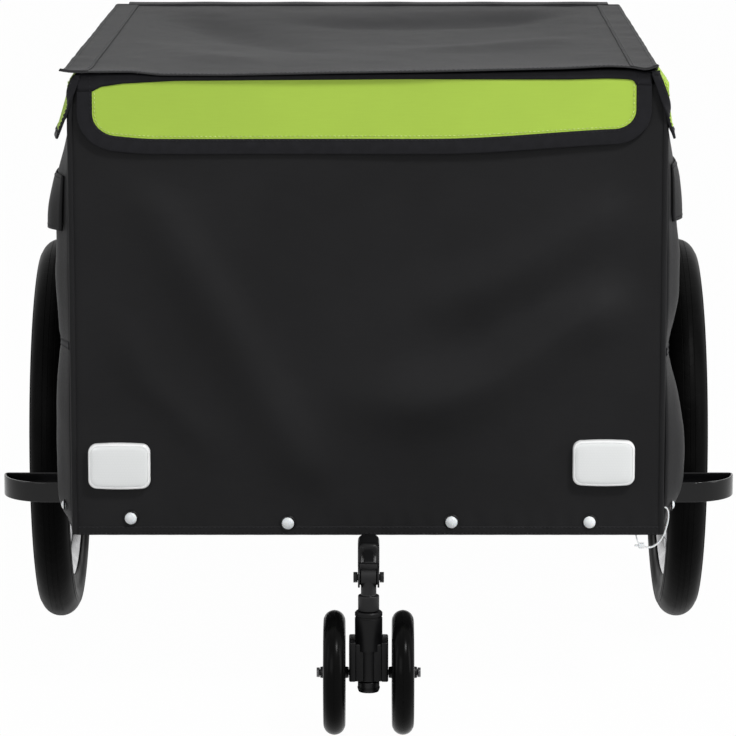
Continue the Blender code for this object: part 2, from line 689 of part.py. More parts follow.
def make_cabin_cloth():
    height = TOP_TOP - HEM_HEIGHT
    inner_x = BODY_WIDTH / 2 - CLOTH
    cloth("front_panel", (-BODY_WIDTH / 2, FRONT + CLOTH, HEM_HEIGHT), (BODY_WIDTH, 0, 0), (0, 0, height),
          FRONT_CELLS, front_folds, "black_cloth")
    cloth("rear_panel", (BODY_WIDTH / 2, REAR - CLOTH, HEM_HEIGHT), (-BODY_WIDTH, 0, 0), (0, 0, height),
          REAR_CELLS, rear_folds, "black_cloth")
    swing = CLOTH * (POCKET_SLACK + SWAY_PEAK * CLOTH_SWAY) * SIDE_CELLS[0] / BODY_LENGTH
    start = FRONT + CLOTH + CLEAR + swing
    length = BODY_LENGTH - 2 * (start - FRONT)
    left = cloth("side_panel_left", (-inner_x, start + length, HEM_HEIGHT), (0, -length, 0), (0, 0, height),
                 SIDE_CELLS, lambda u, v: side_folds(1 - u, v), "black_cloth")
    right = cloth("side_panel_right", (inner_x, start, HEM_HEIGHT), (0, length, 0), (0, 0, height),
                  SIDE_CELLS, side_folds, "black_cloth")
    crown = WHEEL_RADIUS + PLATE_CROWN + 2 * CLEAR
    for panel, x in ((left, -inner_x), (right, inner_x)):
        size = (10 * CLOTH, PLATE_LENGTH + 4 * CLEAR, 2 * (crown - HEM_HEIGHT))
        cutter = block("bracket_slit", size, (x, AXLE_Y, HEM_HEIGHT), None)
        boolean(panel, cutter, "DIFFERENCE")


# Reflectors

def make_reflector(name, x, seat, toward, finish):
    """A bowed lens in a rounded frame, flat on the cloth at its seat."""
    outline = rounded_rectangle(REFLECTOR_WIDTH, REFLECTOR_HEIGHT, REFLECTOR_CORNER, REFLECTOR_BOW)
    middle = seat + toward * (REFLECTOR_DEPTH / 2 + CLEAR)
    lens = flat_piece(name, [outline], REFLECTOR_DEPTH, (x, middle, REFLECTOR_Z), (0, toward, 0), finish)
    bevel(to_mesh(lens), REFLECTOR_EDGE, 1, 40)


def rounded_rectangle(width, height, radius, bow, steps=3):
    """Rectangle outline with round corners whose long sides bow out."""
    outline = []
    for corner, (sx, sy) in enumerate(((1, 1), (-1, 1), (-1, -1), (1, -1))):
        start = corner * math.pi / 2
        for i in range(steps + 1):
            angle = start + i / steps * math.pi / 2
            px = sx * (width / 2 - radius) + radius * math.cos(angle)
            py = sy * (height / 2 - radius) + radius * math.sin(angle)
            outline.append((px, py))
        if corner in (0, 2):
            outline.append((0.0, sy * (height / 2 + bow)))
    return outline


def make_reflectors():
    for side, x in (("left", -REFLECTOR_X), ("right", REFLECTOR_X)):
        make_reflector(f"reflector_front_{side}", x, FRONT, -1, "white_lens")
        make_reflector(f"reflector_rear_{side}", x, REAR, 1, "red_lens")


# Wheel brackets and bumpers

def make_brackets():
    """A plate welded on the base rail, with a sleeve and the stub axle that the wheel turns on."""
    hub_inner = WHEEL_X - HUB_LENGTH / 2
    hub_outer = WHEEL_X + HUB_LENGTH / 2
    foot = BASE_Z - PLATE_FOOT
    nut_radius, nut_height = AXLE_NUT
    for side, sign in (("left", -1), ("right", 1)):
        plate_in = FRAME_X + CLEAR
        half = PLATE_LENGTH / 2
        drop = foot - WHEEL_RADIUS
        outline = [(-half, drop), (half, drop), (half, 0.0)]
        outline += arc((0, 0), PLATE_CROWN, 0, 180, 6) + [(-half, 0.0)]
        plate = side_plate(f"axle_bracket_{side}", outline, PLATE_THICKNESS,
                           (sign * (plate_in + PLATE_THICKNESS / 2), AXLE_Y, WHEEL_RADIUS), "black_steel")
        plate = to_mesh(plate)
        sleeve_end = hub_inner - RUNNING
        sleeve = cylinder("sleeve", SLEEVE_RADIUS, sleeve_end - plate_in - PLATE_THICKNESS / 2,
                          (sign * (sleeve_end + plate_in + PLATE_THICKNESS / 2) / 2, AXLE_Y, WHEEL_RADIUS),
                          (1, 0, 0), "black_steel", 20)
        boolean(plate, sleeve, "UNION")
        tip = hub_outer + RUNNING + AXLE_TIP
        axle = cylinder("stub_axle", AXLE_DIAMETER / 2, tip - plate_in - PLATE_THICKNESS / 2,
                        (sign * (tip + plate_in + PLATE_THICKNESS / 2) / 2, AXLE_Y, WHEEL_RADIUS), (1, 0, 0),
                        "bright_steel", 16)
        boolean(plate, axle, "UNION")
        nut = cylinder("axle_nut", nut_radius, nut_height,
                       (sign * (hub_outer + RUNNING + nut_height / 2), AXLE_Y, WHEEL_RADIUS), (1, 0, 0),
                       "bright_steel", 6)
        boolean(plate, nut, "UNION")


def make_bumpers():
    """A flat strip bent into a D that stands in front of each wheel; its tabs lie on the hem."""
    seat = BODY_WIDTH / 2 + CLEAR + BUMPER_STRIP / 2
    near = FRONT + BUMPER_FRONT
    far = near + BUMPER_DEPTH
    reach = BODY_WIDTH / 2 + BUMPER_REACH - BUMPER_STRIP / 2
    height = BUMPER_TOP - BUMPER_HEIGHT / 2
    bend = BUMPER_BEND
    for side, sign in (("left", -1), ("right", 1)):
        corners = [(sign * seat, near - BUMPER_TAB, height), (sign * seat, near, height),
                   (sign * reach, near, height), (sign * reach, far, height),
                   (sign * seat, far, height), (sign * seat, far + BUMPER_TAB, height)]
        path = filleted(corners, (bend, BUMPER_NOSE, bend, bend), 6)
        item = strip(f"bumper_{side}", path, (0, 0, BUMPER_HEIGHT), BUMPER_STRIP, "black_steel")
        item.data.shade_smooth()


# Main wheels

def tyre_profile():
    """Section of the tyre, open towards the rim: round over the tread, narrow between the rim flanges."""
    middle = WHEEL_RADIUS - TYRE_WIDTH / 2
    bead = WHEEL_RADIUS - TYRE_DEPTH
    shoulder = bead + RIM_FLANGE + CLEAR
    half = RIM_WIDTH / 2 - RIM_WALL - CLEAR
    outer = arc((middle, 0), TYRE_WIDTH / 2, TYRE_WRAP, -TYRE_WRAP, TYRE_POINTS)
    inner = arc((middle, 0), TYRE_WIDTH / 2 - TYRE_WALL, TYRE_WRAP, -TYRE_WRAP, TYRE_POINTS - 3)
    outer = [(bead, half), (shoulder, half)] + outer + [(shoulder, -half), (bead, -half)]
    within = half - TYRE_WALL
    inner = [(bead, within), (shoulder, within)] + inner + [(shoulder, -within), (bead, -within)]
    return outer + inner[::-1]


def rim_profile():
    """A channel rim: two upright flanges, bead seats, a well between them, and a flat inner side."""
    half = RIM_WIDTH / 2
    seat = WHEEL_RADIUS - TYRE_DEPTH - CLEAR
    top = seat + RIM_FLANGE
    well = seat - RIM_WELL
    inner = top - RIM_DEPTH
    ledge = half - RIM_WALL
    outside = [(top, half), (seat - RIM_SIDE, half), (inner, half - RIM_TAPER)]
    channel = [(top, ledge), (seat, ledge), (well, ledge - RIM_WELL)]
    under = [(radius, -height) for radius, height in outside[::-1]]
    return outside[::-1] + channel + [(radius, -height) for radius, height in channel[::-1]] + under[::-1]


def hub_profile():
    half = HUB_LENGTH / 2
    flange = FLANGE_SPREAD / 2
    bore = AXLE_DIAMETER / 2 + RUNNING
    face = flange + FLANGE_THICKNESS
    outer = [(HUB_RADIUS, half), (HUB_RADIUS, face), (FLANGE_RADIUS, face),
             (FLANGE_RADIUS, flange), (HUB_RADIUS - HUB_WAIST, flange - 2 * HUB_WAIST)]
    lower = [(radius, -height) for radius, height in outer[::-1]]
    return outer + lower + [(bore, -half), (bore, half)]


def make_wheel(side, sign):
    """A rim, a flanged hub and wire spokes that leave the hub flanges at a tangent and cross."""
    at = (sign * WHEEL_X, AXLE_Y, WHEEL_RADIUS)
    turned(f"tyre_{side}", tyre_profile(), at, (1, 0, 0), "tyre_rubber", WHEEL_STEPS, True)
    wheel = turned(f"wheel_{side}", rim_profile(), at, (1, 0, 0), "bright_steel", WHEEL_STEPS, True)
    hub = turned("hub", hub_profile(), at, (1, 0, 0), "bright_steel", HUB_STEPS, True)
    boolean(wheel, hub, "UNION")
    spokes = bpy.data.meshes.new("spokes")
    shape = bmesh.new()
    rim_reach = WHEEL_RADIUS - TYRE_DEPTH + RIM_FLANGE - RIM_DEPTH + SPOKE_DIAMETER
    for i in range(SPOKES):
        flange = 1 if i % 2 else -1
        lead = 1 if (i // 2) % 2 else -1
        at_rim = 2 * math.pi * i / SPOKES
        at_hub = at_rim + lead * math.radians(SPOKE_LEAN)
        hub_ring = FLANGE_RADIUS - SPOKE_INSET
        pass_by = lead * SPOKE_PASS / 2
        side_step = flange * (FLANGE_SPREAD + FLANGE_THICKNESS) / 2 + pass_by
        low = Vector((hub_ring * math.cos(at_hub), hub_ring * math.sin(at_hub), side_step))
        high = Vector((rim_reach * math.cos(at_rim), rim_reach * math.sin(at_rim),
                       flange * SPOKE_STAGGER + pass_by))
        line = high - low
        made = bmesh.ops.create_cone(shape, cap_ends=True, segments=4, radius1=SPOKE_DIAMETER / 2,
                                     radius2=SPOKE_DIAMETER / 2, depth=line.length)
        bmesh.ops.transform(shape, verts=made["verts"],
                            matrix=Matrix.Translation((low + high) / 2) @ turn_to(line).to_matrix().to_4x4())
    shape.to_mesh(spokes)
    shape.free()
    wires = place("spokes", spokes, "bright_steel", at, turn_to((1, 0, 0)))
    boolean(wheel, wires, "UNION")


# Front caster

def make_front_arm():
    """A flat bar from the front cross tube, under the hem, to two ears that hold the caster leg."""
    tail = CROSS_FRONT + TUBE / 2 + ARM_TAIL
    nose = SWIVEL_Y + EAR_LENGTH / 2
    arm = block("front_arm", (ARM_WIDTH, tail - nose, ARM_HEIGHT), (0, (tail + nose) / 2, ARM_Z),
                "black_steel", ARM_EDGE, 1)
    for y in (RAIL_FRONT, CROSS_FRONT):
        rise = BASE_FOOT - CLEAR - ARM_Z
        saddle = block("saddle", (ARM_WIDTH - 2 * EAR_INSET, TUBE, rise), (0, y, ARM_Z + rise / 2), None)
        boolean(arm, saddle, "UNION")
    gap = STEM_DIAMETER + 2 * CLEAR
    height = ARM_HEIGHT - 2 * EAR_INSET
    root = block("ear_root", (gap + 2 * EAR_THICKNESS, EAR_ROOT, height), (0, nose, ARM_Z), None)
    boolean(arm, root, "UNION")
    for sign in (-1, 1):
        x = sign * (gap + EAR_THICKNESS) / 2
        back = (EAR_LENGTH + EAR_ROOT / 2) / 2
        outline = [(back, -height / 2), (back, height / 2)] + arc((0, 0), height / 2, 90, 270, 8)
        ear = to_mesh(side_plate("ear", outline, EAR_THICKNESS, (x, SWIVEL_Y, ARM_Z), None))
        boolean(arm, ear, "UNION")
    bore = cylinder("pivot_bore", FOLD_BOLT_DIAMETER / 2 + CLEAR, 3 * gap, (0, SWIVEL_Y, FOLD_Z),
                    (1, 0, 0), None, 12)
    boolean(arm, bore, "DIFFERENCE")
    head_radius, head_height = FOLD_BOLT_HEAD
    reach = gap / 2 + EAR_THICKNESS + CLEAR
    bolt = cylinder("caster_pivot_bolt", FOLD_BOLT_DIAMETER / 2, 2 * reach + head_height,
                    (0, SWIVEL_Y, FOLD_Z), (1, 0, 0), "bright_steel", 12)
    for sign in (-1, 1):
        head = cylinder("bolt_head", head_radius, head_height,
                        (sign * (reach + head_height / 2), SWIVEL_Y, FOLD_Z), (1, 0, 0), None, 6)
        boolean(bolt, head, "UNION")


def make_caster_leg():
    """Stem with its eye, collar, the spindle that the carrier turns on, and the end cap below."""
    cap_top = CARRIER_FOOT - RUNNING
    cap_foot = cap_top - END_CAP_HEIGHT
    collar_top = COLLAR_FOOT + COLLAR_HEIGHT
    heights = [(0.0, FOLD_Z), (STEM_DIAMETER / 2, FOLD_Z), (STEM_DIAMETER / 2, collar_top),
               (COLLAR_DIAMETER / 2, collar_top), (COLLAR_DIAMETER / 2, COLLAR_FOOT),
               (SPINDLE_DIAMETER / 2, COLLAR_FOOT), (SPINDLE_DIAMETER / 2, cap_top),
               (END_CAP_DIAMETER / 2, cap_top), (END_CAP_DIAMETER / 2, cap_foot + END_CAP_EDGE),
               (END_CAP_DIAMETER / 2 - END_CAP_EDGE, cap_foot), (0.0, cap_foot)]
    profile = [(radius, height - FOLD_Z) for radius, height in heights]
    leg = turned("caster_leg", profile, (0, SWIVEL_Y, FOLD_Z), (0, 0, 1), "black_steel", 16, False)
    eye = cylinder("eye", STEM_DIAMETER / 2, STEM_DIAMETER, (0, SWIVEL_Y, FOLD_Z), (1, 0, 0), None, 20)
    boolean(leg, eye, "UNION")
    bore = cylinder("eye_bore", FOLD_BOLT_DIAMETER / 2 + RUNNING, 2 * STEM_DIAMETER,
                    (0, SWIVEL_Y, FOLD_Z), (1, 0, 0), None, 12)
    boolean(leg, bore, "DIFFERENCE")


def make_caster_carrier():
    """The swivel housing and the block below it: two cheeks for the axle and a column between them."""
    depth = CARRIER_FRONT + CARRIER_BACK
    height = CARRIER_TOP - CARRIER_FOOT
    carrier = block("caster_carrier", (CARRIER_WIDTH, depth, height),
                    (0, SWIVEL_Y + (CARRIER_BACK - CARRIER_FRONT) / 2, (CARRIER_TOP + CARRIER_FOOT) / 2),
                    "black_plastic", CARRIER_EDGE, 2)
    low = CARRIER_FOOT + CARRIER_EDGE
    housing = cylinder("housing", HOUSING_DIAMETER / 2, HOUSING_TOP - low,
                       (0, SWIVEL_Y, (HOUSING_TOP + low) / 2), (0, 0, 1), None, 24)
    boolean(carrier, housing, "UNION")
    spindle = cylinder("spindle_bore", SPINDLE_DIAMETER / 2 + RUNNING, 2 * HOUSING_TOP,
                       (0, SWIVEL_Y, HOUSING_TOP), (0, 0, 1), None, 20)
    boolean(carrier, spindle, "DIFFERENCE")
    across = cylinder("axle_bore", CASTER_AXLE_DIAMETER / 2 + CLEAR, 2 * CARRIER_WIDTH,
                      (0, CASTER_Y, CASTER_RADIUS), (1, 0, 0), None, 12)
    boolean(carrier, across, "DIFFERENCE")
    bottom = CARRIER_FOOT - CARRIER_EDGE
    top = CARRIER_TOP - CARRIER_CAP
    for sign in (-1, 1):
        groove = block("groove", (CARRIER_GROOVE, 2 * CARRIER_GROOVE_DEPTH, top - bottom),
                       (sign * (CARRIER_COLUMN + CARRIER_GROOVE) / 2, SWIVEL_Y - CARRIER_FRONT, (top + bottom) / 2), None)
        boolean(carrier, groove, "DIFFERENCE")
    outer = CASTER_SPREAD / 2 + CASTER_BOSS_HALF + RUNNING
    head_radius, head_height = CASTER_AXLE_HEAD
    axle = cylinder("caster_axle", CASTER_AXLE_DIAMETER / 2, 2 * outer + head_height,
                    (0, CASTER_Y, CASTER_RADIUS), (1, 0, 0), "bright_steel", 12)
    for sign in (-1, 1):
        head = cylinder("axle_end", head_radius, head_height,
                        (sign * (outer + head_height / 2), CASTER_Y, CASTER_RADIUS), (1, 0, 0), None, 6)
        boolean(axle, head, "UNION")


def make_caster_wheel(side, sign):
    """A round rubber tyre on a moulded hub with lightening holes through its web."""
    at = (sign * CASTER_SPREAD / 2, CASTER_Y, CASTER_RADIUS)
    half = CASTER_WIDTH / 2
    crown = CASTER_RADIUS - half
    seat = CASTER_HUB_RADIUS + CLEAR
    tread = [(crown + r, h) for r, h in arc((0, 0), half, 90, -90, 6)]
    inner_half = CASTER_SEAT_WIDTH / 2
    profile = [(seat, inner_half)] + tread + [(seat, -inner_half)]
    turned(f"caster_tyre_{side}", profile, at, (1, 0, 0), "tyre_rubber", CASTER_STEPS, True)
    boss = CASTER_BOSS_HALF
    ring = CASTER_HUB_RADIUS - CASTER_RING
    web = CASTER_WEB / 2
    bore = CASTER_AXLE_DIAMETER / 2 + RUNNING
    outer = [(bore, boss), (CASTER_BOSS, boss), (CASTER_BOSS + CASTER_DRAFT, web), (ring - CASTER_DRAFT, web),
             (ring, inner_half), (CASTER_HUB_RADIUS, inner_half)]
    lower = [(radius, -height) for radius, height in outer[::-1]]
    hub = turned(f"caster_hub_{side}", outer + lower, at, (1, 0, 0), "black_plastic", CASTER_STEPS, True)
    for i in range(CASTER_HOLES):
        angle = 2 * math.pi * i / CASTER_HOLES
        hole = cylinder("hub_hole", CASTER_HOLE_RADIUS, 2 * CASTER_WIDTH,
                        (at[0], at[1] + CASTER_HOLE_RING * math.cos(angle),
                         at[2] + CASTER_HOLE_RING * math.sin(angle)), (1, 0, 0), None, 8)
        boolean(hub, hole, "DIFFERENCE")


# Roof cover

def make_roof():
    """A rod hoop that turns in two clips on the rear rail, the roof cloth over it, and its skirts."""
    pin_x = RAIL_X - HOOP_ELBOW - PIN_LENGTH
    corners = [(-pin_x, HINGE_Y, HOOP_Z), (-RAIL_X, HINGE_Y, HOOP_Z), (-RAIL_X, RAIL_FRONT, HOOP_Z),
               (RAIL_X, RAIL_FRONT, HOOP_Z), (RAIL_X, HINGE_Y, HOOP_Z), (pin_x, HINGE_Y, HOOP_Z)]
    path = filleted(corners, (HOOP_ELBOW, HOOP_BEND, HOOP_BEND, HOOP_ELBOW), 4)
    round_rod("roof_hoop", path, HOOP_DIAMETER, "black_steel")
    rear_edge = HINGE_Y - HINGE_SPACE
    cloth("roof_panel", (-ROOF_X, ROOF_FRONT, ROOF_UNDER), (2 * ROOF_X, 0, 0),
          (0, rear_edge - ROOF_FRONT, 0), ROOF_CELLS, roof_billow, "roof_cloth")
    skirt_top = ROOF_UNDER - CLEAR
    low = ROOF_HEIGHT - FRONT_SKIRT_DROP
    cloth("front_skirt", (-FRONT_SKIRT_WIDTH / 2, FRONT - SKIRT_GAP, low), (FRONT_SKIRT_WIDTH, 0, 0),
          (0, 0, skirt_top - low), FRONT_SKIRT_CELLS, front_skirt_sway, "green_cloth", CLOTH,
          rounded_hem(FRONT_SKIRT_WIDTH, FRONT_SKIRT_DROP))
    low = ROOF_HEIGHT - SIDE_SKIRT_DROP
    start = FRONT + SKIRT_GAP
    length = rear_edge - start
    lean = CLOTH * SIDE_SKIRT_FLARE / SIDE_SKIRT_DROP
    drop = skirt_top - 1.3 * lean - low
    lift = rounded_hem(length, SIDE_SKIRT_DROP)
    cloth("side_skirt_left", (-SKIRT_X, start + length, low), (0, -length, 0), (0, 0, drop),
          SIDE_SKIRT_CELLS, side_skirt_flare, "green_cloth", CLOTH, lift)
    cloth("side_skirt_right", (SKIRT_X, start, low), (0, length, 0), (0, 0, drop),
          SIDE_SKIRT_CELLS, side_skirt_flare, "green_cloth", CLOTH, lift)
    for side, sign in (("left", -1), ("right", 1)):
        make_hinge_clip(side, sign * (pin_x + PIN_LENGTH / 2))


def roof_billow(u, v):
    """The cloth rises a little between its stiff edges."""
    edge = smooth_step(min(u, 1 - u), 0.07, 0.25) * smooth_step(min(v, 1 - v), 0.07, 0.25)
    return edge * ROOF_BILLOW * (0.7 + 0.3 * math.sin(7 * u + 2 * v))


def front_skirt_sway(u, v):
    return (1 - v) * SKIRT_SWAY * (1 + math.sin(11 * u))


def side_skirt_flare(u, v):
    return (1 - v) * (SIDE_SKIRT_FLARE + SKIRT_SWAY * math.sin(13 * u))


def make_hinge_clip(side, x):
    """A bent strap over the hoop's pin, its feet on the rear top rail."""
    inner = HOOP_DIAMETER / 2 + RUNNING
    outer = inner + CLIP_WALL
    rest = TOP_TOP + CLEAR - HOOP_Z
    foot = TUBE / 2 - TUBE_RADIUS
    outline = [(foot, rest), (foot, rest + CLIP_WALL), (outer, rest + CLIP_WALL)]
    outline += arc((0, 0), outer, 0, 180, 8)
    outline += [(-outer, rest + CLIP_WALL), (-foot, rest + CLIP_WALL), (-foot, rest), (-inner, rest)]
    outline += arc((0, 0), inner, 180, 0, 8) + [(inner, rest)]
    side_plate(f"hinge_clip_{side}", outline, CLIP_WIDTH, (x, HINGE_Y, HOOP_Z), "black_plastic")


def make_rear_skirt():
    """The fixed flap behind the hinge: it lies on the rear rail and hangs down outside the cabin."""
    lie = TOP_TOP + CLEAR + CLOTH / 2
    hang = REAR + SKIRT_GAP + CLOTH / 2
    corners = [(0, HINGE_Y + SKIRT_LAP, lie), (0, hang, lie), (0, hang, ROOF_HEIGHT - REAR_SKIRT_DROP)]
    strip("rear_skirt", filleted(corners, (SKIRT_BEND,), 4), (FRONT_SKIRT_WIDTH, 0, 0), CLOTH, "green_cloth")


# Tow bar

def make_tow_bar():
    """A receiver under the floor and two square tubes that draw out of it."""
    sleeve_side = TOW_OUTER + 2 * RUNNING + 2 * RECEIVER_WALL
    back = AXLE_Y + RECEIVER_LENGTH / 2
    front = AXLE_Y - RECEIVER_LENGTH / 2
    receiver = to_mesh(square_tube("tow_receiver", (TOW_SIDE, front, TOW_Z), (TOW_SIDE, back, TOW_Z),
                                   sleeve_side, RECEIVER_WALL, TOW_RADIUS))
    for y in (CROSS_FRONT, CROSS_REAR):
        low = TOW_Z + sleeve_side / 2 - RECEIVER_WALL / 2
        high = BASE_FOOT - CLEAR
        hanger = block("hanger", (HANGER_WIDTH, TUBE, high - low), (TOW_SIDE, y, (high + low) / 2), None)
        boolean(receiver, hanger, "UNION")
    square_tube("tow_bar_outer", (TOW_SIDE, TOW_Y, TOW_Z), (TOW_SIDE, TOW_Y + TOW_OUTER_LENGTH, TOW_Z),
                TOW_OUTER, TOW_WALL, TOW_RADIUS)
    inner = to_mesh(square_tube("tow_bar_inner", (TOW_SIDE, TOW_NOSE, TOW_Z),
                                (TOW_SIDE, TOW_NOSE + TOW_INNER_LENGTH, TOW_Z),
                                TOW_INNER, TOW_INNER_WALL, TOW_INNER_RADIUS))
    plug_side = TOW_INNER - TOW_INNER_WALL
    plug = block("plug", (plug_side, TOW_PLUG, plug_side), (TOW_SIDE, TOW_NOSE + TOW_PLUG / 2, TOW_Z), None)
    boolean(inner, plug, "UNION")
    width, height = TONGUE
    tip = COUPLER_Y - TONGUE_TIP
    root = TOW_NOSE + 0.7 * TOW_PLUG
    tongue = block("tongue", (width, root - tip, height), (TOW_SIDE, (root + tip) / 2, TOW_Z), None)
    boolean(inner, tongue, "UNION")
    slot = height + 2 * RUNNING
    tall = slot + 2 * COUPLER_PLATE
    rivet = cylinder("rivet", HITCH_PIN_DIAMETER / 2, tall, (TOW_SIDE, COUPLER_Y, TOW_Z),
                     (0, 0, 1), None, 12)
    boolean(inner, rivet, "UNION")
    make_coupler(slot, tall)


def make_coupler(slot, tall):
    """A forged fork on the tongue; its mouth takes the bicycle's hitch plate, held by the pin."""
    web_back = -TONGUE_TIP - TONGUE_SWING
    web_front = web_back - COUPLER_WEB
    tip = web_front - COUPLER_MOUTH
    half, gap, gape = tall / 2, slot / 2, COUPLER_GAPE / 2
    outline = [(COUPLER_TAIL, half), (tip, half), (tip, gape), (web_front, gape), (web_front, -gape),
               (tip, -gape), (tip, -half), (COUPLER_TAIL, -half), (COUPLER_TAIL, -gap), (web_back, -gap),
               (web_back, gap), (COUPLER_TAIL, gap)]
    coupler = to_mesh(side_plate("hitch_coupler", outline, COUPLER_WIDTH, (TOW_SIDE, COUPLER_Y, TOW_Z),
                                 "black_steel"))
    for y, spare in ((COUPLER_Y, RUNNING), (PIN_Y, CLEAR)):
        bore = cylinder("coupler_bore", HITCH_PIN_DIAMETER / 2 + spare, 2 * tall, (TOW_SIDE, y, TOW_Z),
                        (0, 0, 1), None, 12)
        boolean(coupler, bore, "DIFFERENCE")
    head_radius, head_height = HITCH_PIN_HEAD
    seat = TOW_Z + half + CLEAR
    foot = TOW_Z - half - HITCH_PIN_TIP
    top = seat + head_height / 2
    pin = cylinder("hitch_pin", HITCH_PIN_DIAMETER / 2, top - foot, (TOW_SIDE, PIN_Y, (top + foot) / 2),
                   (0, 0, 1), "bright_steel", 12)
    head = cylinder("pin_head", head_radius, head_height, (TOW_SIDE, PIN_Y, seat + head_height / 2),
                    (0, 0, 1), None, 12)
    boolean(pin, head, "UNION")


# Seat

def seat_lines():
    """Corner points of the sling in (y, z), and the directions of its seat and back."""
    ring = SEAT_HOOP_DIAMETER / 2 + CLEAR + SLING / 2
    hoop = Vector((0, SEAT_Y, SEAT_HOOP_Z))
    corner = Vector((0, FRONT + SEAT_CORNER_SETBACK, BASE_TOP + SEAT_CORNER_RISE))
    run = corner - hoop
    ahead = run.normalized()
    above = Vector((0, -ahead.z, ahead.y))
    lean = math.acos(ring / run.length)
    touch = hoop + ring * (math.cos(lean) * ahead + math.sin(lean) * above)
    seat = (corner - touch).normalized()
    front_y = hoop.y - ring
    lip = touch + seat * ((front_y - touch.y) / seat.y)
    top_y = FRAME_REAR - TUBE - CLEAR - SLING / 2
    top = Vector((0, top_y, TOP_TOP - BACK_TOP_DROP))
    back = (top - corner).normalized()
    return ring, lip, touch, corner, top, seat, back


def make_sling():
    """Round hoop over the base rails and the cloth sling that hangs from it to the rear rail."""
    foot = BASE_TOP + CLEAR
    corners = [(-RAIL_X, SEAT_Y, foot), (-RAIL_X, SEAT_Y, SEAT_HOOP_Z),
               (RAIL_X, SEAT_Y, SEAT_HOOP_Z), (RAIL_X, SEAT_Y, foot)]
    round_rod("seat_hoop", filleted(corners, (SEAT_HOOP_BEND, SEAT_HOOP_BEND), 5), SEAT_HOOP_DIAMETER,
              "black_steel", 2)
    ring, lip, touch, corner, top, seat, back = seat_lines()
    start = Vector((0, lip.y, SEAT_HOOP_Z - SLING_FRONT))
    end = Vector((0, top.y, TOP_TOP - SLING_END))
    path = filleted([start, lip, corner, top, end], (ring, SEAT_CORNER_BEND, BACK_TOP_BEND), 5)
    strip("seat_sling", path, (SLING_WIDTH, 0, 0), SLING, "seat_cloth")


def make_pad(name, length, origin, along, up):
    """A crowned pad whose sides draw in between its corners, with channels sewn across it."""
    columns, rows = PAD_COLUMNS, 2 * (CHANNELS + 1)
    shape = bmesh.new()
    layers = []
    for level in (0, 1):
        layer = []
        for j in range(rows + 1):
            for i in range(columns + 1):
                u, v = 2 * i / columns - 1, 2 * j / rows - 1
                x = u * (PAD_WIDTH / 2 - PAD_PULL * (1 - v * v))
                y = v * (length / 2 - PAD_PULL * (1 - u * u))
                crown = 0.55 + 0.45 * (1 - u ** 4) * (1 - v ** 4)
                sewn = j % 2 == 0 and 0 < j < rows and abs(u) < 1
                seam = CHANNEL_DEPTH if sewn else 0.0
                height = PAD_THICKNESS * (crown - seam) * level
                layer.append(shape.verts.new(origin + Vector((x, 0, 0)) + along * y + up * height))
        layers.append(layer)
    low, high = layers
    wide = columns + 1
    for j in range(rows):
        for i in range(columns):
            a = j * wide + i
            shape.faces.new((high[a], high[a + 1], high[a + wide + 1], high[a + wide]))
            shape.faces.new((low[a], low[a + wide], low[a + wide + 1], low[a + 1]))
    rim = [i for i in range(wide)] + [j * wide + columns for j in range(1, rows + 1)]
    rim += [rows * wide + i for i in range(columns - 1, -1, -1)] + [j * wide for j in range(rows - 1, 0, -1)]
    for a, b in zip(rim, rim[1:] + rim[:1]):
        shape.faces.new((low[a], low[b], high[b], high[a]))
    bmesh.ops.recalc_face_normals(shape, faces=shape.faces)
    mesh = bpy.data.meshes.new(name)
    shape.to_mesh(mesh)
    shape.free()
    mesh.shade_smooth()
    item = place(name, mesh, "seat_cloth")
    fine = item.modifiers.new("soft", "SUBSURF")
    fine.levels = 1
    fine.render_levels = 1


def make_seat():
    make_sling()
    ring, lip, touch, corner, top, seat, back = seat_lines()
    seat_up = Vector((0, -seat.z, seat.y))
    back_up = Vector((0, -back.z, back.y))
    rest = SLING / 2 + CLEAR
    start = touch + seat * PAD_START
    make_pad("seat_pad", SEAT_PAD_LENGTH, start + seat * SEAT_PAD_LENGTH / 2 + seat_up * rest, seat, seat_up)
    base = corner + back * BACK_PAD_START
    make_pad("back_pad", BACK_PAD_LENGTH, base + back * BACK_PAD_LENGTH / 2 + back_up * rest, back, back_up)
    over = rest + PAD_THICKNESS + STRAP_REST
    width, length, thick = BUCKLE_SIZE
    buckle_at = start + seat * (SEAT_PAD_LENGTH * BUCKLE_PLACE) + seat_up * (over + thick / 2)
    turn = Matrix((Vector((1, 0, 0)), seat, seat_up)).transposed().to_quaternion()
    block("harness_buckle", BUCKLE_SIZE, buckle_at, "black_plastic", BUCKLE_EDGE, 2, turn)
    bottom = buckle_at + seat * (length / 2 + STRAP / 2 + CLEAR)
    for side, sign in (("left", -1), ("right", 1)):
        wide = Vector((sign * STRAP_SPREAD / 2, 0, 0))
        narrow = Vector((sign * (STRAP_WIDTH / 2 + 2 * CLEAR), 0, 0))
        high = base + back * (BACK_PAD_LENGTH + PAD_PULL)
        points = [high + back_up * (rest + STRAP / 2) + wide,
                  base + back * (BACK_PAD_LENGTH - 2 * STRAP) + back_up * (over + STRAP) + wide,
                  base + back * BACK_PAD_START + back_up * (over + STRAP_SLACK) + wide / 2,
                  bottom + narrow]
        path = filleted(points, (PAD_THICKNESS, 2 * PAD_THICKNESS), 4)
        strip(f"shoulder_strap_{side}", path, (STRAP_WIDTH, 0, 0), STRAP, "webbing")


def main():
    make_frame()
    make_floor()
    make_cabin_cloth()
    make_reflectors()
    make_brackets()
    make_bumpers()
    make_front_arm()
    make_caster_leg()
    make_caster_carrier()
    for side, sign in (("left", -1), ("right", 1)):
        make_wheel(side, sign)
        make_caster_wheel(side, sign)
    make_roof()
    make_rear_skirt()
    make_tow_bar()
    make_seat()


main()
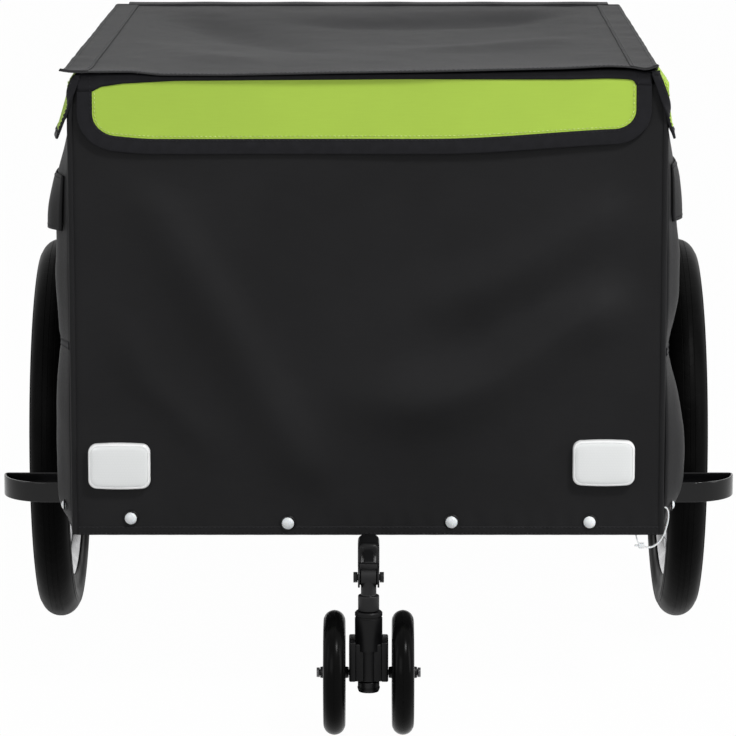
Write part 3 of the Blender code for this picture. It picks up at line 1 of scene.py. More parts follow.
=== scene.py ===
# %% [markdown]
# # A child bike trailer
# The trailer is a box of coated cloth on a steel tube frame, with two spoked wheels, a folding twin
# caster in front and a lid that is sewn like a fitted cover. The solids of every moving part are ready
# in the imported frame, so this lesson dresses them: each piece is made where its solid says, in metres,
# and rides on the same body, so that it moves as the real one does.

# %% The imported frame
import json
import math

import bmesh
import bpy
from mathutils import Matrix, Vector, noise
from mathutils.bvhtree import BVHTree

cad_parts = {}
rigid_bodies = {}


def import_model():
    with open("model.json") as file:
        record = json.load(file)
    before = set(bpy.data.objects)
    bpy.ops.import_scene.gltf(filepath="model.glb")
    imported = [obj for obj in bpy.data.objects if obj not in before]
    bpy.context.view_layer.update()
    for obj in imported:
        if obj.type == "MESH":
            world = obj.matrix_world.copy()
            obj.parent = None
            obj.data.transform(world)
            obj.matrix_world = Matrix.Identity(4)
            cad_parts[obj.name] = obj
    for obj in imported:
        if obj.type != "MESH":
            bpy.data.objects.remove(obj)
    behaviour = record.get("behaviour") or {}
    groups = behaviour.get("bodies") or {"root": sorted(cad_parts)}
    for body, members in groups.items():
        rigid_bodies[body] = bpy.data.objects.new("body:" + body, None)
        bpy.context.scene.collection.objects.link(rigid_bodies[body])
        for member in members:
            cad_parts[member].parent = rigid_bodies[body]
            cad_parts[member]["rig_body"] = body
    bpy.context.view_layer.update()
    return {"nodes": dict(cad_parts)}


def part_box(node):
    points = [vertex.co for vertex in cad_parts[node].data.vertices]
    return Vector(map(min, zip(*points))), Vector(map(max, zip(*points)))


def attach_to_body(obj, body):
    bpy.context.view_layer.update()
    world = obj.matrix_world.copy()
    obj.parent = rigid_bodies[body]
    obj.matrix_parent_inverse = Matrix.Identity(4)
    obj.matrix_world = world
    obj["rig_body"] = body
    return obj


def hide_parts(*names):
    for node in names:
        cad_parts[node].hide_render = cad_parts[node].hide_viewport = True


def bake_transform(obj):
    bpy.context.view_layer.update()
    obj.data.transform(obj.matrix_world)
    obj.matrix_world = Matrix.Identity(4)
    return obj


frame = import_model()

# %% [markdown]
# Measures come from the solids wherever that is possible. A rail's box gives the faces of the frame,
# and the cloth lies a little outside them, because the real cloth is stretched over the tubes. Pieces
# that rest on each other keep a gap of 0.3 mm, so that they are never cut into one another.

# %% Measures of the cabin
def middle(node):
    """Middle of a solid's box."""
    low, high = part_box(node)
    return (low + high) / 2


CLOTH = 0.0016
GAP = 0.0003
rail_low, rail_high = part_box("base_rail_left")
HALF = -rail_low.x + CLOTH + GAP
FRONT = rail_low.y - CLOTH - GAP
REAR = rail_high.y + CLOTH + GAP
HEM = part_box("front_panel")[0].z
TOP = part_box("front_panel")[1].z
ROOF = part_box("roof_panel")[0].z + CLOTH
LENGTH = REAR - FRONT
HEIGHT = TOP - HEM
WHEEL = middle("wheel_left")
CASTER = middle("caster_axle")
PIVOT = middle("caster_pivot_bolt")
print("cabin", round(2 * HALF, 4), "x", round(LENGTH, 4), "x", round(HEIGHT, 4))
SIDES = (("left", -1), ("right", 1))

# %% [markdown]
# The photograph was taken from a little above with a long lens, about four metres away. A long lens
# keeps the box nearly square, so the focal length, here in pixels of the picture, matters as much as the
# place of the camera. The shift stays at nothing, because the middle of the picture is on the lens's line.

# %% Camera
PICTURE = 736
FOCAL = 4072
SENSOR = 36.0
TILT = 80.0
camera_data = bpy.data.cameras.new("camera")
camera_data.sensor_fit = "HORIZONTAL"
camera_data.sensor_width = SENSOR
camera_data.lens = FOCAL * SENSOR / PICTURE
camera_data.clip_end = 200
camera = bpy.data.objects.new("camera", camera_data)
bpy.context.scene.collection.objects.link(camera)
camera.location = (-0.0006, -4.17515, 1.013)
camera.rotation_euler = (math.radians(TILT), 0, 0)
bpy.context.scene.camera = camera
bpy.context.scene.view_settings.view_transform = "Standard"
print("lens", round(camera_data.lens, 1), "mm")

# %% [markdown]
# Shader maths reads best as plain expressions. One small class wraps an output socket, and each
# operator adds the Math node it stands for, so a weave can be written as sums and products. The same
# helper that adds those nodes also builds the Geometry Nodes trees further down.

# %% Nodes from one call
def add_node(tree, kind, settings=None, sockets=None):
    """Add a node: its settings first, then the values or links of its sockets."""
    made = tree.nodes.new(kind)
    for key, value in (settings or {}).items():
        setattr(made, key, value)
    for key, value in (sockets or {}).items():
        value = getattr(value, "socket", value)
        if isinstance(value, bpy.types.NodeSocket):
            tree.links.new(value, made.inputs[key])
        else:
            made.inputs[key].default_value = value
    return made


class Field:
    """A number, vector or colour that varies over a surface."""

    def __init__(self, tree, socket):
        self.tree = tree
        self.socket = socket

    def math(self, operation, *others):
        sockets = dict(enumerate((self,) + others))
        made = add_node(self.tree, "ShaderNodeMath", {"operation": operation}, sockets)
        return Field(self.tree, made.outputs[0])

    def __add__(self, other):
        return self.math("ADD", other)

    def __sub__(self, other):
        return self.math("SUBTRACT", other)

    def __rsub__(self, other):
        return self.math("MULTIPLY_ADD", -1.0, other)

    def __mul__(self, other):
        return self.math("MULTIPLY", other)

    def __truediv__(self, other):
        return self.math("DIVIDE", other)

    __radd__ = __add__
    __rmul__ = __mul__

    def part(self):
        return self.math("FRACT")

    def step(self):
        return self.math("FLOOR")

    def size(self):
        return self.math("ABSOLUTE")

    def wave(self):
        return self.math("SINE")

    def ramp(self, low, high):
        """Smoothly from 0 at low to 1 at high."""
        made = add_node(self.tree, "ShaderNodeMapRange", {"interpolation_type": "SMOOTHSTEP"},
                        {0: self, 1: low, 2: high})
        return Field(self.tree, made.outputs[0])


print("field operators ready")

# %% A finish with its shader
def tone(red, green, blue):
    """A colour as seen on a screen, from 0 to 255, as the light values a shader needs."""
    values = [value / 255 for value in (red, green, blue)]
    return tuple(v / 12.92 if v <= 0.04045 else ((v + 0.055) / 1.055) ** 2.4 for v in values) + (1.0,)


class Finish:
    """A procedural material on one shader. Constants go on the shader's own sockets."""

    made = {}

    def __init__(self, name, slot, colour, **constants):
        self.material = bpy.data.materials.new(name)
        self.material.use_nodes = True
        self.slot = slot
        self.tree = self.material.node_tree
        self.shader = self.tree.nodes["Principled BSDF"]
        self.shader.inputs["Base Color"].default_value = colour
        for key, value in constants.items():
            self.shader.inputs[key.replace("_", " ")].default_value = value
        Finish.made[name] = self

    def field(self, kind, output=0, settings=None, sockets=None):
        return Field(self.tree, add_node(self.tree, kind, settings, sockets).outputs[output])

    def place(self):
        return self.field("ShaderNodeTexCoord", "Object")

    def own_map(self):
        """Metres along and across the piece, from its own map."""
        return self.field("ShaderNodeUVMap", 0, {"uv_map": "cut"})

    def split(self, vector):
        made = add_node(self.tree, "ShaderNodeSeparateXYZ", None, {0: vector})
        return [Field(self.tree, socket) for socket in made.outputs]

    def stretched(self, vector, scale):
        made = add_node(self.tree, "ShaderNodeVectorMath", {"operation": "MULTIPLY"}, {0: vector, 1: scale})
        return Field(self.tree, made.outputs[0])

    def grain(self, vector, scale, detail=3.0):
        sockets = {"Vector": vector, "Scale": scale, "Detail": detail}
        return self.field("ShaderNodeTexNoise", 0, None, sockets)

    def mix(self, factor, first, second):
        sockets = {0: factor, 6: first, 7: second}
        return self.field("ShaderNodeMix", 2, {"data_type": "RGBA"}, sockets)

    def paint(self, socket, value):
        self.tree.links.new(value.socket, self.shader.inputs[socket])

    def relief(self, *layers):
        """Bump layers of (height, depth in metres, strength), one over the other."""
        below = None
        for height, depth, strength in layers:
            sockets = {"Strength": strength, "Distance": depth, "Height": height}
            if below is not None:
                sockets["Normal"] = below
            below = self.field("ShaderNodeBump", 0, None, sockets)
        self.paint("Normal", below)


print("finish class ready")

# %% [markdown]
# Coated polyester is a plain weave of thick yarns with a thin plastic film behind. It can be drawn with
# an image, but a rule is sharper at any distance: warp and weft yarns take turns on top in a
# checkerboard, and each yarn is a round ridge. The pattern reads metres from the piece's own map, so it
# bends with the folds instead of sliding through them.

# %% Cloth finishes
def weave(finish, pitch, vector):
    """Height of a plain weave from 0 to 1, and which yarn lies on top."""
    across, along, _ = finish.split(vector)
    across, along = across / pitch, along / pitch
    top = ((across.step() + along.step()) * 0.5).part() * 2.0
    warp = (across.part() * math.pi).wave()
    weft = (along.part() * math.pi).wave()
    over_warp = warp * (weft * 0.4 + 0.6)
    over_weft = weft * (warp * 0.4 + 0.6)
    return over_warp * top + over_weft * (1 - top), top


def cloth_finish(name, slot, colour, pitch, depth, change, **constants):
    """A woven cloth whose yarns, dye and nap vary a little; the crowns of the yarns are painted lighter, a
    painted highlight.
    """
    finish = Finish(name, slot, colour, **constants)
    flat = finish.own_map()
    height, top = weave(finish, pitch, flat)
    dye = finish.grain(flat, 7.0, 4.0)
    slub = finish.grain(finish.stretched(flat, (40.0, 900.0, 1.0)), 1.0, 2.0)
    light = tuple(min(1.0, value * (1 + change)) for value in colour[:3]) + (1.0,)
    dark = tuple(value * (1 - change) for value in colour[:3]) + (1.0,)
    # The yarns' crowns (height) are painted lighter, a painted highlight. Dye and slubs vary the tone at
    # random, and the warp on top is a little lighter.
    shade = dye.ramp(0.3, 0.7) * 0.55 + slub.ramp(0.35, 0.65) * 0.20 + top * 0.10 + height * 0.15
    finish.paint("Base Color", finish.mix(shade, dark, light))
    finish.paint("Roughness", dye * 0.12 + (constants["Roughness"] - 0.06))
    crumple = finish.grain(flat, 55.0, 3.0)
    finish.relief((crumple, 0.0006, 0.35), (height, depth, 0.5))
    return finish


cloth_finish("black_polyester", "black_cloth", tone(31, 31, 32), 0.00075, 0.00016, 0.16,
             Roughness=0.50, Sheen_Weight=0.01, Sheen_Roughness=0.45, Specular_IOR_Level=0.07)
# The roof cloth is drawn grey, lighter than the cabin's black: partly its own dark grey and partly painted
# light from above.
cloth_finish("roof_polyester", "roof_cloth", tone(57, 57, 58), 0.00075, 0.00016, 0.10,
             Roughness=0.42, Specular_IOR_Level=0.010)
cloth_finish("green_polyester", "green_cloth", tone(166, 197, 72), 0.00070, 0.00014, 0.05,
             Roughness=0.70, Sheen_Weight=0.05, Specular_IOR_Level=0.30)
cloth_finish("seat_polyester", "seat_cloth", tone(62, 63, 66), 0.0011, 0.00025, 0.22,
             Roughness=0.82, Sheen_Weight=0.15, Sheen_Roughness=0.5, Specular_IOR_Level=0.25)
print("cloth finishes", len(Finish.made))

# %% [markdown]
# Binding tape and webbing are woven too, but as ribs: grosgrain tape has fine ribs across its length,
# and harness webbing a steep twill that turns back at its middle. Sewing thread is two plies twisted
# round each other, which a slanted stripe shows well enough.

# %% Tape, webbing and thread
def ribbed_finish(name, slot, colour, pitch, slant, depth, **constants):
    """A narrow woven band: ribs at a slant that turns back at the middle of the band; the rib crests are
    painted lighter, a painted highlight.
    """
    finish = Finish(name, slot, colour, **constants)
    along, across, _ = finish.split(finish.own_map())
    rib = ((along + across.size() * slant) * (2 * math.pi / pitch)).wave() * 0.5 + 0.5
    worn = finish.grain(finish.place(), 120.0)
    # The rib crests are painted lighter, a painted highlight; the wear varies the tone at random.
    shade = rib * 0.5 + worn.ramp(0.35, 0.7) * 0.5
    dark = tuple(value * 0.72 for value in colour[:3]) + (1.0,)
    light = tuple(min(1.0, value * 1.35) for value in colour[:3]) + (1.0,)
    finish.paint("Base Color", finish.mix(shade, dark, light))
    finish.relief((rib, depth, 0.6))
    return finish


ribbed_finish("binding_tape", "black_cloth", tone(22, 22, 25), 0.0011, 0.0, 0.00012,
              Roughness=0.60, Sheen_Weight=0.02, Specular_IOR_Level=0.12)
ribbed_finish("harness_webbing", "webbing", tone(38, 38, 40), 0.0022, 1.4, 0.0002,
              Roughness=0.75, Sheen_Weight=0.15, Specular_IOR_Level=0.3)
# The grey thread matches the roof's tone, which is partly painted light from above.
ribbed_finish("grey_thread", "roof_cloth", tone(78, 78, 80), 0.0009, 0.8, 0.00008,
              Roughness=0.55, Specular_IOR_Level=0.15)
ribbed_finish("black_thread", "black_cloth", tone(34, 34, 37), 0.0009, 0.8, 0.00008,
              Roughness=0.55, Specular_IOR_Level=0.15)
ribbed_finish("green_thread", "green_cloth", tone(196, 216, 128), 0.0009, 0.8, 0.00008,
              Roughness=0.60, Specular_IOR_Level=0.4)
print("band finishes done")

# %% [markdown]
# The frame is powder coated: a baked plastic skin with a faint orange peel and slightly uneven gloss.
# The bumper strip has the same black but more gloss, so it mirrors the studio. Zinc plated steel and
# the alloy rims are bare metal with fine lines from rolling and turning.

# %% Painted and bare metal
def coat_finish(name, slot, colour, roughness, peel, **constants):
    """Baked paint: fine waves in the skin and dust that dulls it in places."""
    finish = Finish(name, slot, colour, Roughness=roughness, **constants)
    place = finish.place()
    dust = finish.grain(place, 14.0, 4.0).ramp(0.4, 0.75)
    waves = finish.grain(place, 420.0, 2.0)
    lighter = tuple(value * 1.5 + 0.002 for value in colour[:3]) + (1.0,)
    finish.paint("Base Color", finish.mix(dust * 0.6, colour, lighter))
    finish.paint("Roughness", dust * 0.12 + roughness)
    finish.relief((waves, peel, 0.4))
    return finish


def metal_finish(name, slot, colour, roughness, lines, **constants):
    """Bare metal with fine lines along one direction of the piece's own map."""
    finish = Finish(name, slot, colour, Metallic=1.0, Roughness=roughness, **constants)
    flat = finish.own_map()
    line = finish.grain(finish.stretched(flat, lines), 1.0, 2.0)
    cloud = finish.grain(finish.place(), 60.0, 3.0)
    darker = tuple(value * 0.78 for value in colour[:3]) + (1.0,)
    finish.paint("Base Color", finish.mix(cloud.ramp(0.35, 0.7), colour, darker))
    finish.paint("Roughness", line * 0.16 + cloud * 0.10 + (roughness - 0.13))
    finish.relief((line, 0.00004, 0.35))
    return finish


coat_finish("powder_coat", "black_steel", tone(15, 15, 16), 0.36, 0.00005, Specular_IOR_Level=0.25)
coat_finish("bumper_gloss", "black_steel", tone(10, 10, 11), 0.20, 0.00002,
            Specular_IOR_Level=0.10, Coat_Weight=0.35, Coat_Roughness=0.05)
metal_finish("zinc_steel", "bright_steel", (0.56, 0.56, 0.57, 1), 0.30, (60.0, 2500.0, 1.0))
metal_finish("dull_zinc", "bright_steel", (0.16, 0.16, 0.165, 1), 0.42, (60.0, 2500.0, 1.0))
metal_finish("turned_alloy", "rim_alloy", (0.62, 0.62, 0.63, 1), 0.28, (3.0, 3000.0, 1.0))
print("metal finishes done")

# %% [markdown]
# Tyre rubber is dull where dust clings to it, and the small caster tyres are shinier. Moulded plastic has
# the fine grain of a spark-eroded mould. A reflector is clear plastic over a field of small prisms: the
# prisms are drawn as faint relief under a smooth clear coat.

# %% Rubber, plastic and lenses
def rubber_finish(name, slot, sipes, dullness, shine):
    """Moulded rubber. Sipes are the thin cuts across the tread, this far apart along it."""
    finish = Finish(name, slot, tone(9, 9, 9), Specular_IOR_Level=shine)
    place = finish.place()
    dust = finish.grain(place, 22.0, 5.0).ramp(0.35, 0.75)
    skin = finish.grain(place, 700.0, 2.0)
    finish.paint("Base Color", finish.mix(dust, tone(8, 8, 8), tone(15, 15, 15)))
    finish.paint("Roughness", dust * 0.14 + dullness)
    along, across, _ = finish.split(finish.own_map())
    slanted = (along + across.size() * 0.6) / sipes
    cut = (slanted.part() - 0.5).size().ramp(0.03, 0.07)
    tread = across.size().ramp(0.013, 0.0145)
    finish.relief((skin, 0.00004, 0.4), (cut * (1 - tread) + tread, 0.0002, 0.5))
    return finish


def plastic_finish(name, slot, colour, roughness, depth, **constants):
    finish = Finish(name, slot, colour, Roughness=roughness, **constants)
    place = finish.place()
    grain = finish.grain(place, 1400.0, 2.0)
    worn = finish.grain(place, 35.0, 4.0).ramp(0.4, 0.7)
    lighter = tuple(min(1.0, value * 1.35 + 0.002) for value in colour[:3]) + (1.0,)
    finish.paint("Base Color", finish.mix(worn * 0.5, colour, lighter))
    finish.paint("Roughness", worn * 0.10 + (roughness - 0.03))
    finish.relief((grain, depth, 0.4))
    return finish


PRISM = 0.0026


def lens_finish(name, slot, colour, groove_shade):
    """Prism cells in rows under a smooth coat, with painted shade in the grooves between them."""
    finish = Finish(name, slot, colour, Roughness=0.30, Coat_Weight=1.0, Coat_Roughness=0.04)
    across, along, _ = finish.split(finish.own_map())
    odd = ((along / PRISM).step() * 0.5).part()
    one = ((across / PRISM + odd).part() - 0.5).size()
    two = ((along / PRISM).part() - 0.5).size()
    peak = 1 - one.math("MAXIMUM", two) * 2.0
    # The grooves between the prisms get the darker colour: painted shade.
    finish.paint("Base Color", finish.mix(peak.ramp(0.0, 0.35), groove_shade, colour))
    finish.relief((peak, 0.0003, 0.05))
    return finish


NO_SIPES = 50.0
rubber_finish("tyre_rubber", "tyre_rubber", 0.011, 0.36, 0.02)
rubber_finish("caster_rubber", "tyre_rubber", NO_SIPES, 0.20, 0.04)
plastic_finish("moulded_plastic", "black_plastic", tone(12, 12, 13), 0.38, 0.00005,
               Specular_IOR_Level=0.16)
plastic_finish("cloth_lining", "black_cloth", tone(64, 65, 68), 0.6, 0.00006)
plastic_finish("white_nylon", "white_lens", tone(226, 228, 230), 0.32, 0.00003, Subsurface_Weight=0.05)
plastic_finish("lens_frame", "white_lens", tone(240, 241, 241), 0.22, 0.00002, Coat_Weight=0.5)
plastic_finish("red_frame", "red_lens", tone(150, 16, 14), 0.22, 0.00002, Coat_Weight=0.5)
lens_finish("white_prisms", "white_lens", tone(228, 230, 230), tone(225, 227, 227))
lens_finish("red_prisms", "red_lens", tone(178, 20, 16), tone(120, 8, 8))
print("finishes so far", len(Finish.made))

# %% [markdown]
# The floor board is thin plywood with a dark phenolic film on both faces. Its edges show the plies, so
# the finish looks at which way the surface faces: film above and below, thin layers of wood at the sides.

# %% Plywood
PLY = 0.0016
board = Finish("film_plywood", "plywood", tone(48, 40, 34), Roughness=0.5, Specular_IOR_Level=0.45)
board_x, board_y, board_z = board.split(board.place())
facing = board.split(board.field("ShaderNodeNewGeometry", "Normal"))[2].size().ramp(0.4, 0.7)
mesh_lines = (board_x * 900.0).wave() * (board_y * 900.0).wave()
film = board.mix(board.grain(board.place(), 9.0, 5.0), tone(38, 31, 27), tone(58, 48, 41))
plies = board.mix((board_z / PLY).part().ramp(0.35, 0.6), tone(164, 128, 86), tone(112, 82, 52))
board.paint("Base Color", board.mix(facing, plies, film))
board.paint("Roughness", facing * -0.25 + 0.72)
board.relief((mesh_lines * facing, 0.00008, 0.4))
print("finishes", sorted(Finish.made))

# %% [markdown]
# Every piece ends in the same few steps: a mesh at the origin with its place in its vertices, a finish,
# smooth shading with sharp edges kept, and a body to ride on. Putting them in one helper keeps any
# piece from being left behind when a joint moves.

# %% Turning a shape into a piece
def piece(name, shape, finish, body, replaces=(), smooth=35, closed=True):
    """Make an object of a bmesh, at the origin, with its finish and its body."""
    if closed:
        bmesh.ops.recalc_face_normals(shape, faces=shape.faces)
    mesh = bpy.data.meshes.new(name)
    shape.to_mesh(mesh)
    shape.free()
    mesh.materials.append(Finish.made[finish].material)
    item = bpy.data.objects.new(name, mesh)
    bpy.context.scene.collection.objects.link(item)
    mesh.shade_smooth()
    mesh.set_sharp_from_angle(angle=math.radians(smooth))
    return carried(item, body, replaces)


def carried(item, body, replaces=()):
    """Let an object ride on a body, and hide the solids it stands for.
    """
    if body:
        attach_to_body(item, body)
    if replaces:
        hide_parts(*([replaces] if isinstance(replaces, str) else replaces))
    return item


print("piece helper ready")

# %% Shapes by turning, sweeping and rounding
def rounded(points, radius, closed=False):
    """Round the corners of a flat outline, as far as its edges allow."""
    points = [Vector(p) for p in points]
    made = []
    for i, corner in enumerate(points):
        if not closed and i in (0, len(points) - 1):
            made.append(corner)
            continue
        before, after = points[i - 1] - corner, points[(i + 1) % len(points)] - corner
        reach = min(radius, 0.45 * before.length, 0.45 * after.length)
        first, last = corner + before.normalized() * reach, corner + after.normalized() * reach
        for t in (0, 1 / 3, 2 / 3, 1):
            made.append(first * (1 - t) ** 2 + corner * 2 * t * (1 - t) + last * t ** 2)
    return made


def map_layer(shape):
    """The layer that holds a piece's own map, in metres."""
    return shape.loops.layers.uv.get("cut") or shape.loops.layers.uv.new("cut")


def map_ring(shape, rings, lengths, rounds, closed):
    """Join rings of vertices with quads, and lay the map out in metres along and round them."""
    layer = map_layer(shape)
    spans = len(rings) if closed else len(rings) - 1
    for i in range(spans):
        first, second = rings[i], rings[(i + 1) % len(rings)]
        count = max(len(first), len(second))
        for k in range(count):
            m = (k + 1) % count
            corners = [(first, k, i), (first, m, i), (second, m, i + 1), (second, k, i + 1)]
            verts, maps = [], []
            for ring, index, row in corners:
                vert = ring[index % len(ring)]
                if vert not in verts:
                    verts.append(vert)
                    maps.append((lengths[row], rounds[k + 1] if index == m else rounds[k]))
            if len(verts) < 3:
                continue
            face = shape.faces.new(verts)
            for loop, at in zip(face.loops, maps):
                loop[layer].uv = at


def distances(points, closed=False):
    """Running length along points, from 0."""
    made = [0.0]
    for a, b in zip(points, points[1:] + points[:1] if closed else points[1:]):
        made.append(made[-1] + (Vector(b) - Vector(a)).length)
    return made


def round_bar(radius, steps):
    """Section of a round bar."""
    angles = [2 * math.pi * k / steps for k in range(steps)]
    return [(radius * math.cos(angle), radius * math.sin(angle)) for angle in angles]


def turn(shape, profile, centre, axis=(1, 0, 0), steps=96, ring=False, zero=None):
    """Turn a profile of (radius, height) round an axis. A ring's profile closes on itself."""
    axis = Vector(axis).normalized()
    out = Vector((0, 0, 1)) if abs(axis.z) < 0.5 else Vector((0, 1, 0))
    beside = axis.cross(out)
    rings = []
    for radius, height in profile:
        base = Vector(centre) + axis * height
        if radius < 1e-6:
            rings.append([shape.verts.new(base)])
            continue
        ways = [out * x + beside * y for x, y in round_bar(1.0, steps)]
        rings.append([shape.verts.new(base + way * radius) for way in ways])
    widest = max(radius for radius, height in profile)
    rounds = [2 * math.pi * widest * k / steps for k in range(steps + 1)]
    lengths = distances([Vector(p) for p in profile], ring)
    nought = lengths[-1] / 2 if zero is None else lengths[zero]
    centred = [value - nought for value in lengths]
    map_turned(shape, rings, centred, rounds, ring)
    return shape


def map_turned(shape, rings, lengths, rounds, closed):
    """As map_ring, with the way round the axis as the first number of the map."""
    layer = map_layer(shape)
    before = len(shape.faces)
    map_ring(shape, rings, lengths, rounds, closed)
    shape.faces.ensure_lookup_table()
    for face in shape.faces[before:]:
        for loop in face.loops:
            loop[layer].uv = loop[layer].uv.yx


def sweep(shape, path, ups, section, closed=False):
    """Sweep a closed section of (across, up) along a path that knows which way is up."""
    path = [Vector(p) for p in path]
    rings = []
    for i, (point, up) in enumerate(zip(path, ups)):
        last = len(path) - 1
        before = path[i - 1] if i or closed else point
        after = path[(i + 1) % len(path)] if i < last or closed else point
        along = (after - before).normalized()
        side = along.cross(Vector(up)).normalized()
        top = side.cross(along)
        rings.append([shape.verts.new(point + side * a + top * b) for a, b in section])
    section = [Vector(p) for p in section]
    rounds = distances(section, True)
    map_ring(shape, rings, distances(path, closed), [r - rounds[-1] / 4 for r in rounds], closed)
    if not closed:
        shape.faces.new(rings[0])
        shape.faces.new(rings[-1][::-1])
    return shape


def bar(width, height, radius):
    """Section of a flat bar with round edges."""
    w, h = width / 2, height / 2
    return rounded([(-w, -h), (w, -h), (w, h), (-w, h)], radius, True)


def mirrored(half):
    """A profile of (radius, height) and the same one below the middle."""
    return half + [(radius, -height) for radius, height in half[::-1]]


def block(shape, low, high, radius, segments=3):
    """A box between two corners, with its edges rounded."""
    low, high = Vector(low), Vector(high)
    made = bmesh.ops.create_cube(shape, size=1.0)
    bmesh.ops.scale(shape, vec=high - low, verts=made["verts"])
    bmesh.ops.translate(shape, vec=(low + high) / 2, verts=made["verts"])
    edges = {edge for vert in made["verts"] for edge in vert.link_edges}
    bmesh.ops.bevel(shape, geom=list(edges), offset=radius, segments=segments, affect="EDGES", profile=0.5)
    return shape


def fillet(points, radii, steps=8):
    """A path in space whose inner corners are arcs of the given radii."""
    points = [Vector(p) for p in points]
    path = [points[0]]
    for before, corner, after, radius in zip(points, points[1:], points[2:], radii):
        to_before, to_after = (before - corner).normalized(), (after - corner).normalized()
        half = to_before.angle(to_after) / 2
        centre = corner + (to_before + to_after).normalized() * (radius / math.sin(half))
        first = corner + to_before * (radius / math.tan(half)) - centre
        last = corner + to_after * (radius / math.tan(half)) - centre
        axis = first.cross(last).normalized()
        for k in range(steps + 1):
            path.append(centre + Matrix.Rotation((math.pi - 2 * half) * k / steps, 3, axis) @ first)
    return path + [points[-1]]


print("shape helpers ready")

# %% [markdown]
# Tubes, brackets and the tow bar already have the right shape as solids. What they lack is the small
# radius that every bent or cast edge has, which is what catches the light. A merged copy with soft
# edges stands for each of them, because the solids themselves must stay as they are.

# %% Soft-edged copies of solids
SAME_POINT = 0.00002
FLAT = math.radians(1.5)


def refined(node, finish, edge, angle=25):
    """A copy of a solid with its triangles merged and its sharp edges rounded."""
    source = frame["nodes"][node]
    shape = bmesh.new()
    shape.from_mesh(source.data)
    bmesh.ops.remove_doubles(shape, verts=shape.verts, dist=SAME_POINT)
    bmesh.ops.dissolve_limit(shape, angle_limit=FLAT, verts=shape.verts, edges=shape.edges)
    sharp = [e for e in shape.edges
             if len(e.link_faces) == 2 and e.calc_face_angle(0) > math.radians(angle)]
    bmesh.ops.bevel(shape, geom=sharp, offset=edge, segments=2, affect="EDGES", profile=0.5,
                    clamp_overlap=True)
    return piece(f"{node}_dressed", shape, finish, source["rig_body"], node, 40)


FRAME_TUBES = [n for n in frame["nodes"]
               if n.startswith(("base_rail", "top_rail", "post_", "cross_tube"))]
for name in FRAME_TUBES:
    refined(name, "powder_coat", 0.0003)
refined("floor_board", "film_plywood", 0.0005)
refined("seat_hoop", "powder_coat", 0.0002, 50)
for side, sign in SIDES:
    refined(f"axle_bracket_{side}", "powder_coat", 0.0006)
    refined(f"hinge_clip_{side}", "moulded_plastic", 0.0003)
for name in ("tow_receiver", "hitch_coupler", "front_arm"):
    refined(name, "powder_coat", 0.0007)
for name in ("tow_bar_outer", "tow_bar_inner", "hitch_pin"):
    refined(name, "zinc_steel", 0.0004)
refined("caster_pivot_bolt", "powder_coat", 0.0004)
refined("caster_axle", "dull_zinc", 0.0004)

# %% [markdown]
# A cloth face is described by one rule: metres along and down the cloth give a point in space. The
# sheet, its binding, its stitches and its snaps all ask that rule, so they stay together however the
# cloth hangs. The sheet itself is a fine grid of that rule with a real thickness.

# %% Faces of cloth
class Face:
    """A face of cloth. point(s, t) takes metres along and down it; outward is its open side."""

    def __init__(self, width, height, point, outward):
        self.width = width
        self.height = height
        self.point = point
        self.outward = Vector(outward)

    def normal(self, s, t):
        step = 0.0015
        across = self.point(s + step, t) - self.point(s - step, t)
        down = self.point(s, t + step) - self.point(s, t - step)
        found = across.cross(down).normalized()
        return found if found.dot(self.outward) > 0 else -found

    def lifted(self, s, t, lift):
        return self.point(s, t) + self.normal(s, t) * lift


def no_trim(t):
    return 0.0, 0.0


def sheet_shape(face, columns, rows, trim=no_trim):
    """A grid on a face; trim(t) takes a length off both ends of a row, for round corners."""
    shape = bmesh.new()
    layer = map_layer(shape)
    grid = []
    for j in range(rows + 1):
        t = face.height * j / rows
        start, end = trim(t)
        row = []
        for i in range(columns + 1):
            s = start + (face.width - start - end) * i / columns
            row.append((shape.verts.new(face.point(s, t)), (s, t)))
        grid.append(row)
    for j in range(rows):
        for i in range(columns):
            corners = [grid[j][i], grid[j][i + 1], grid[j + 1][i + 1], grid[j + 1][i]]
            made = shape.faces.new([vert for vert, at in corners])
            for loop, (vert, at) in zip(made.loops, corners):
                loop[layer].uv = at
    shape.normal_update()
    total = sum((f.normal for f in shape.faces), Vector())
    if total.dot(face.outward) < 0:
        bmesh.ops.reverse_faces(shape, faces=shape.faces)
    return shape


def sheet(name, face, cells, finish, body, replaces=(), thickness=0.0012, trim=no_trim):
    """A sheet of cloth that reaches inwards from its face."""
    item = piece(name, sheet_shape(face, *cells, trim), finish, body, replaces, 60, closed=False)
    wall = item.modifiers.new("thickness", "SOLIDIFY")
    wall.thickness = thickness
    wall.offset = -1
    wall.use_even_offset = False
    return item


print("cloth helpers ready")

# %% Tape, and paths on cloth
def corner_path(left, right, top, bottom, radii, gap=0.004):
    """A closed path round a rectangle on a face, with four corner radii from the upper left onwards."""
    corners = [(left, top, radii[0], 180), (right, top, radii[1], 270),
               (right, bottom, radii[2], 0), (left, bottom, radii[3], 90)]
    path = []
    for index, (x, y, radius, start) in enumerate(corners):
        cx = x + radius * (1 if index in (0, 3) else -1)
        cy = y + radius * (1 if index in (0, 1) else -1)
        for k in range(9):
            angle = math.radians(start + 90 * k / 8)
            path.append(Vector((cx + radius * math.cos(angle), cy + radius * math.sin(angle))))
    return evenly(path, gap, True)


def evenly(path, gap, closed=False):
    """The same path with a point about every gap."""
    made = []
    ends = path[1:] + path[:1] if closed else path[1:]
    for a, b in zip(path, ends):
        count = max(1, round((b - a).length / gap))
        if (b - a).length > 1e-6:
            made += [a + (b - a) * k / count for k in range(count)]
    return made if closed else made + [path[-1]]


def level_row(face, t, inset, gap=0.01):
    """A straight row across a face, t below its top, that stops short of both ends."""
    return evenly([Vector((inset, t)), Vector((face.width - inset, t))], gap)


def upright_row(face, s, inset, gap):
    """A straight row down a face, s from its start, that stops short of both ends."""
    return evenly([Vector((s, inset)), Vector((s, face.height - inset))], gap)


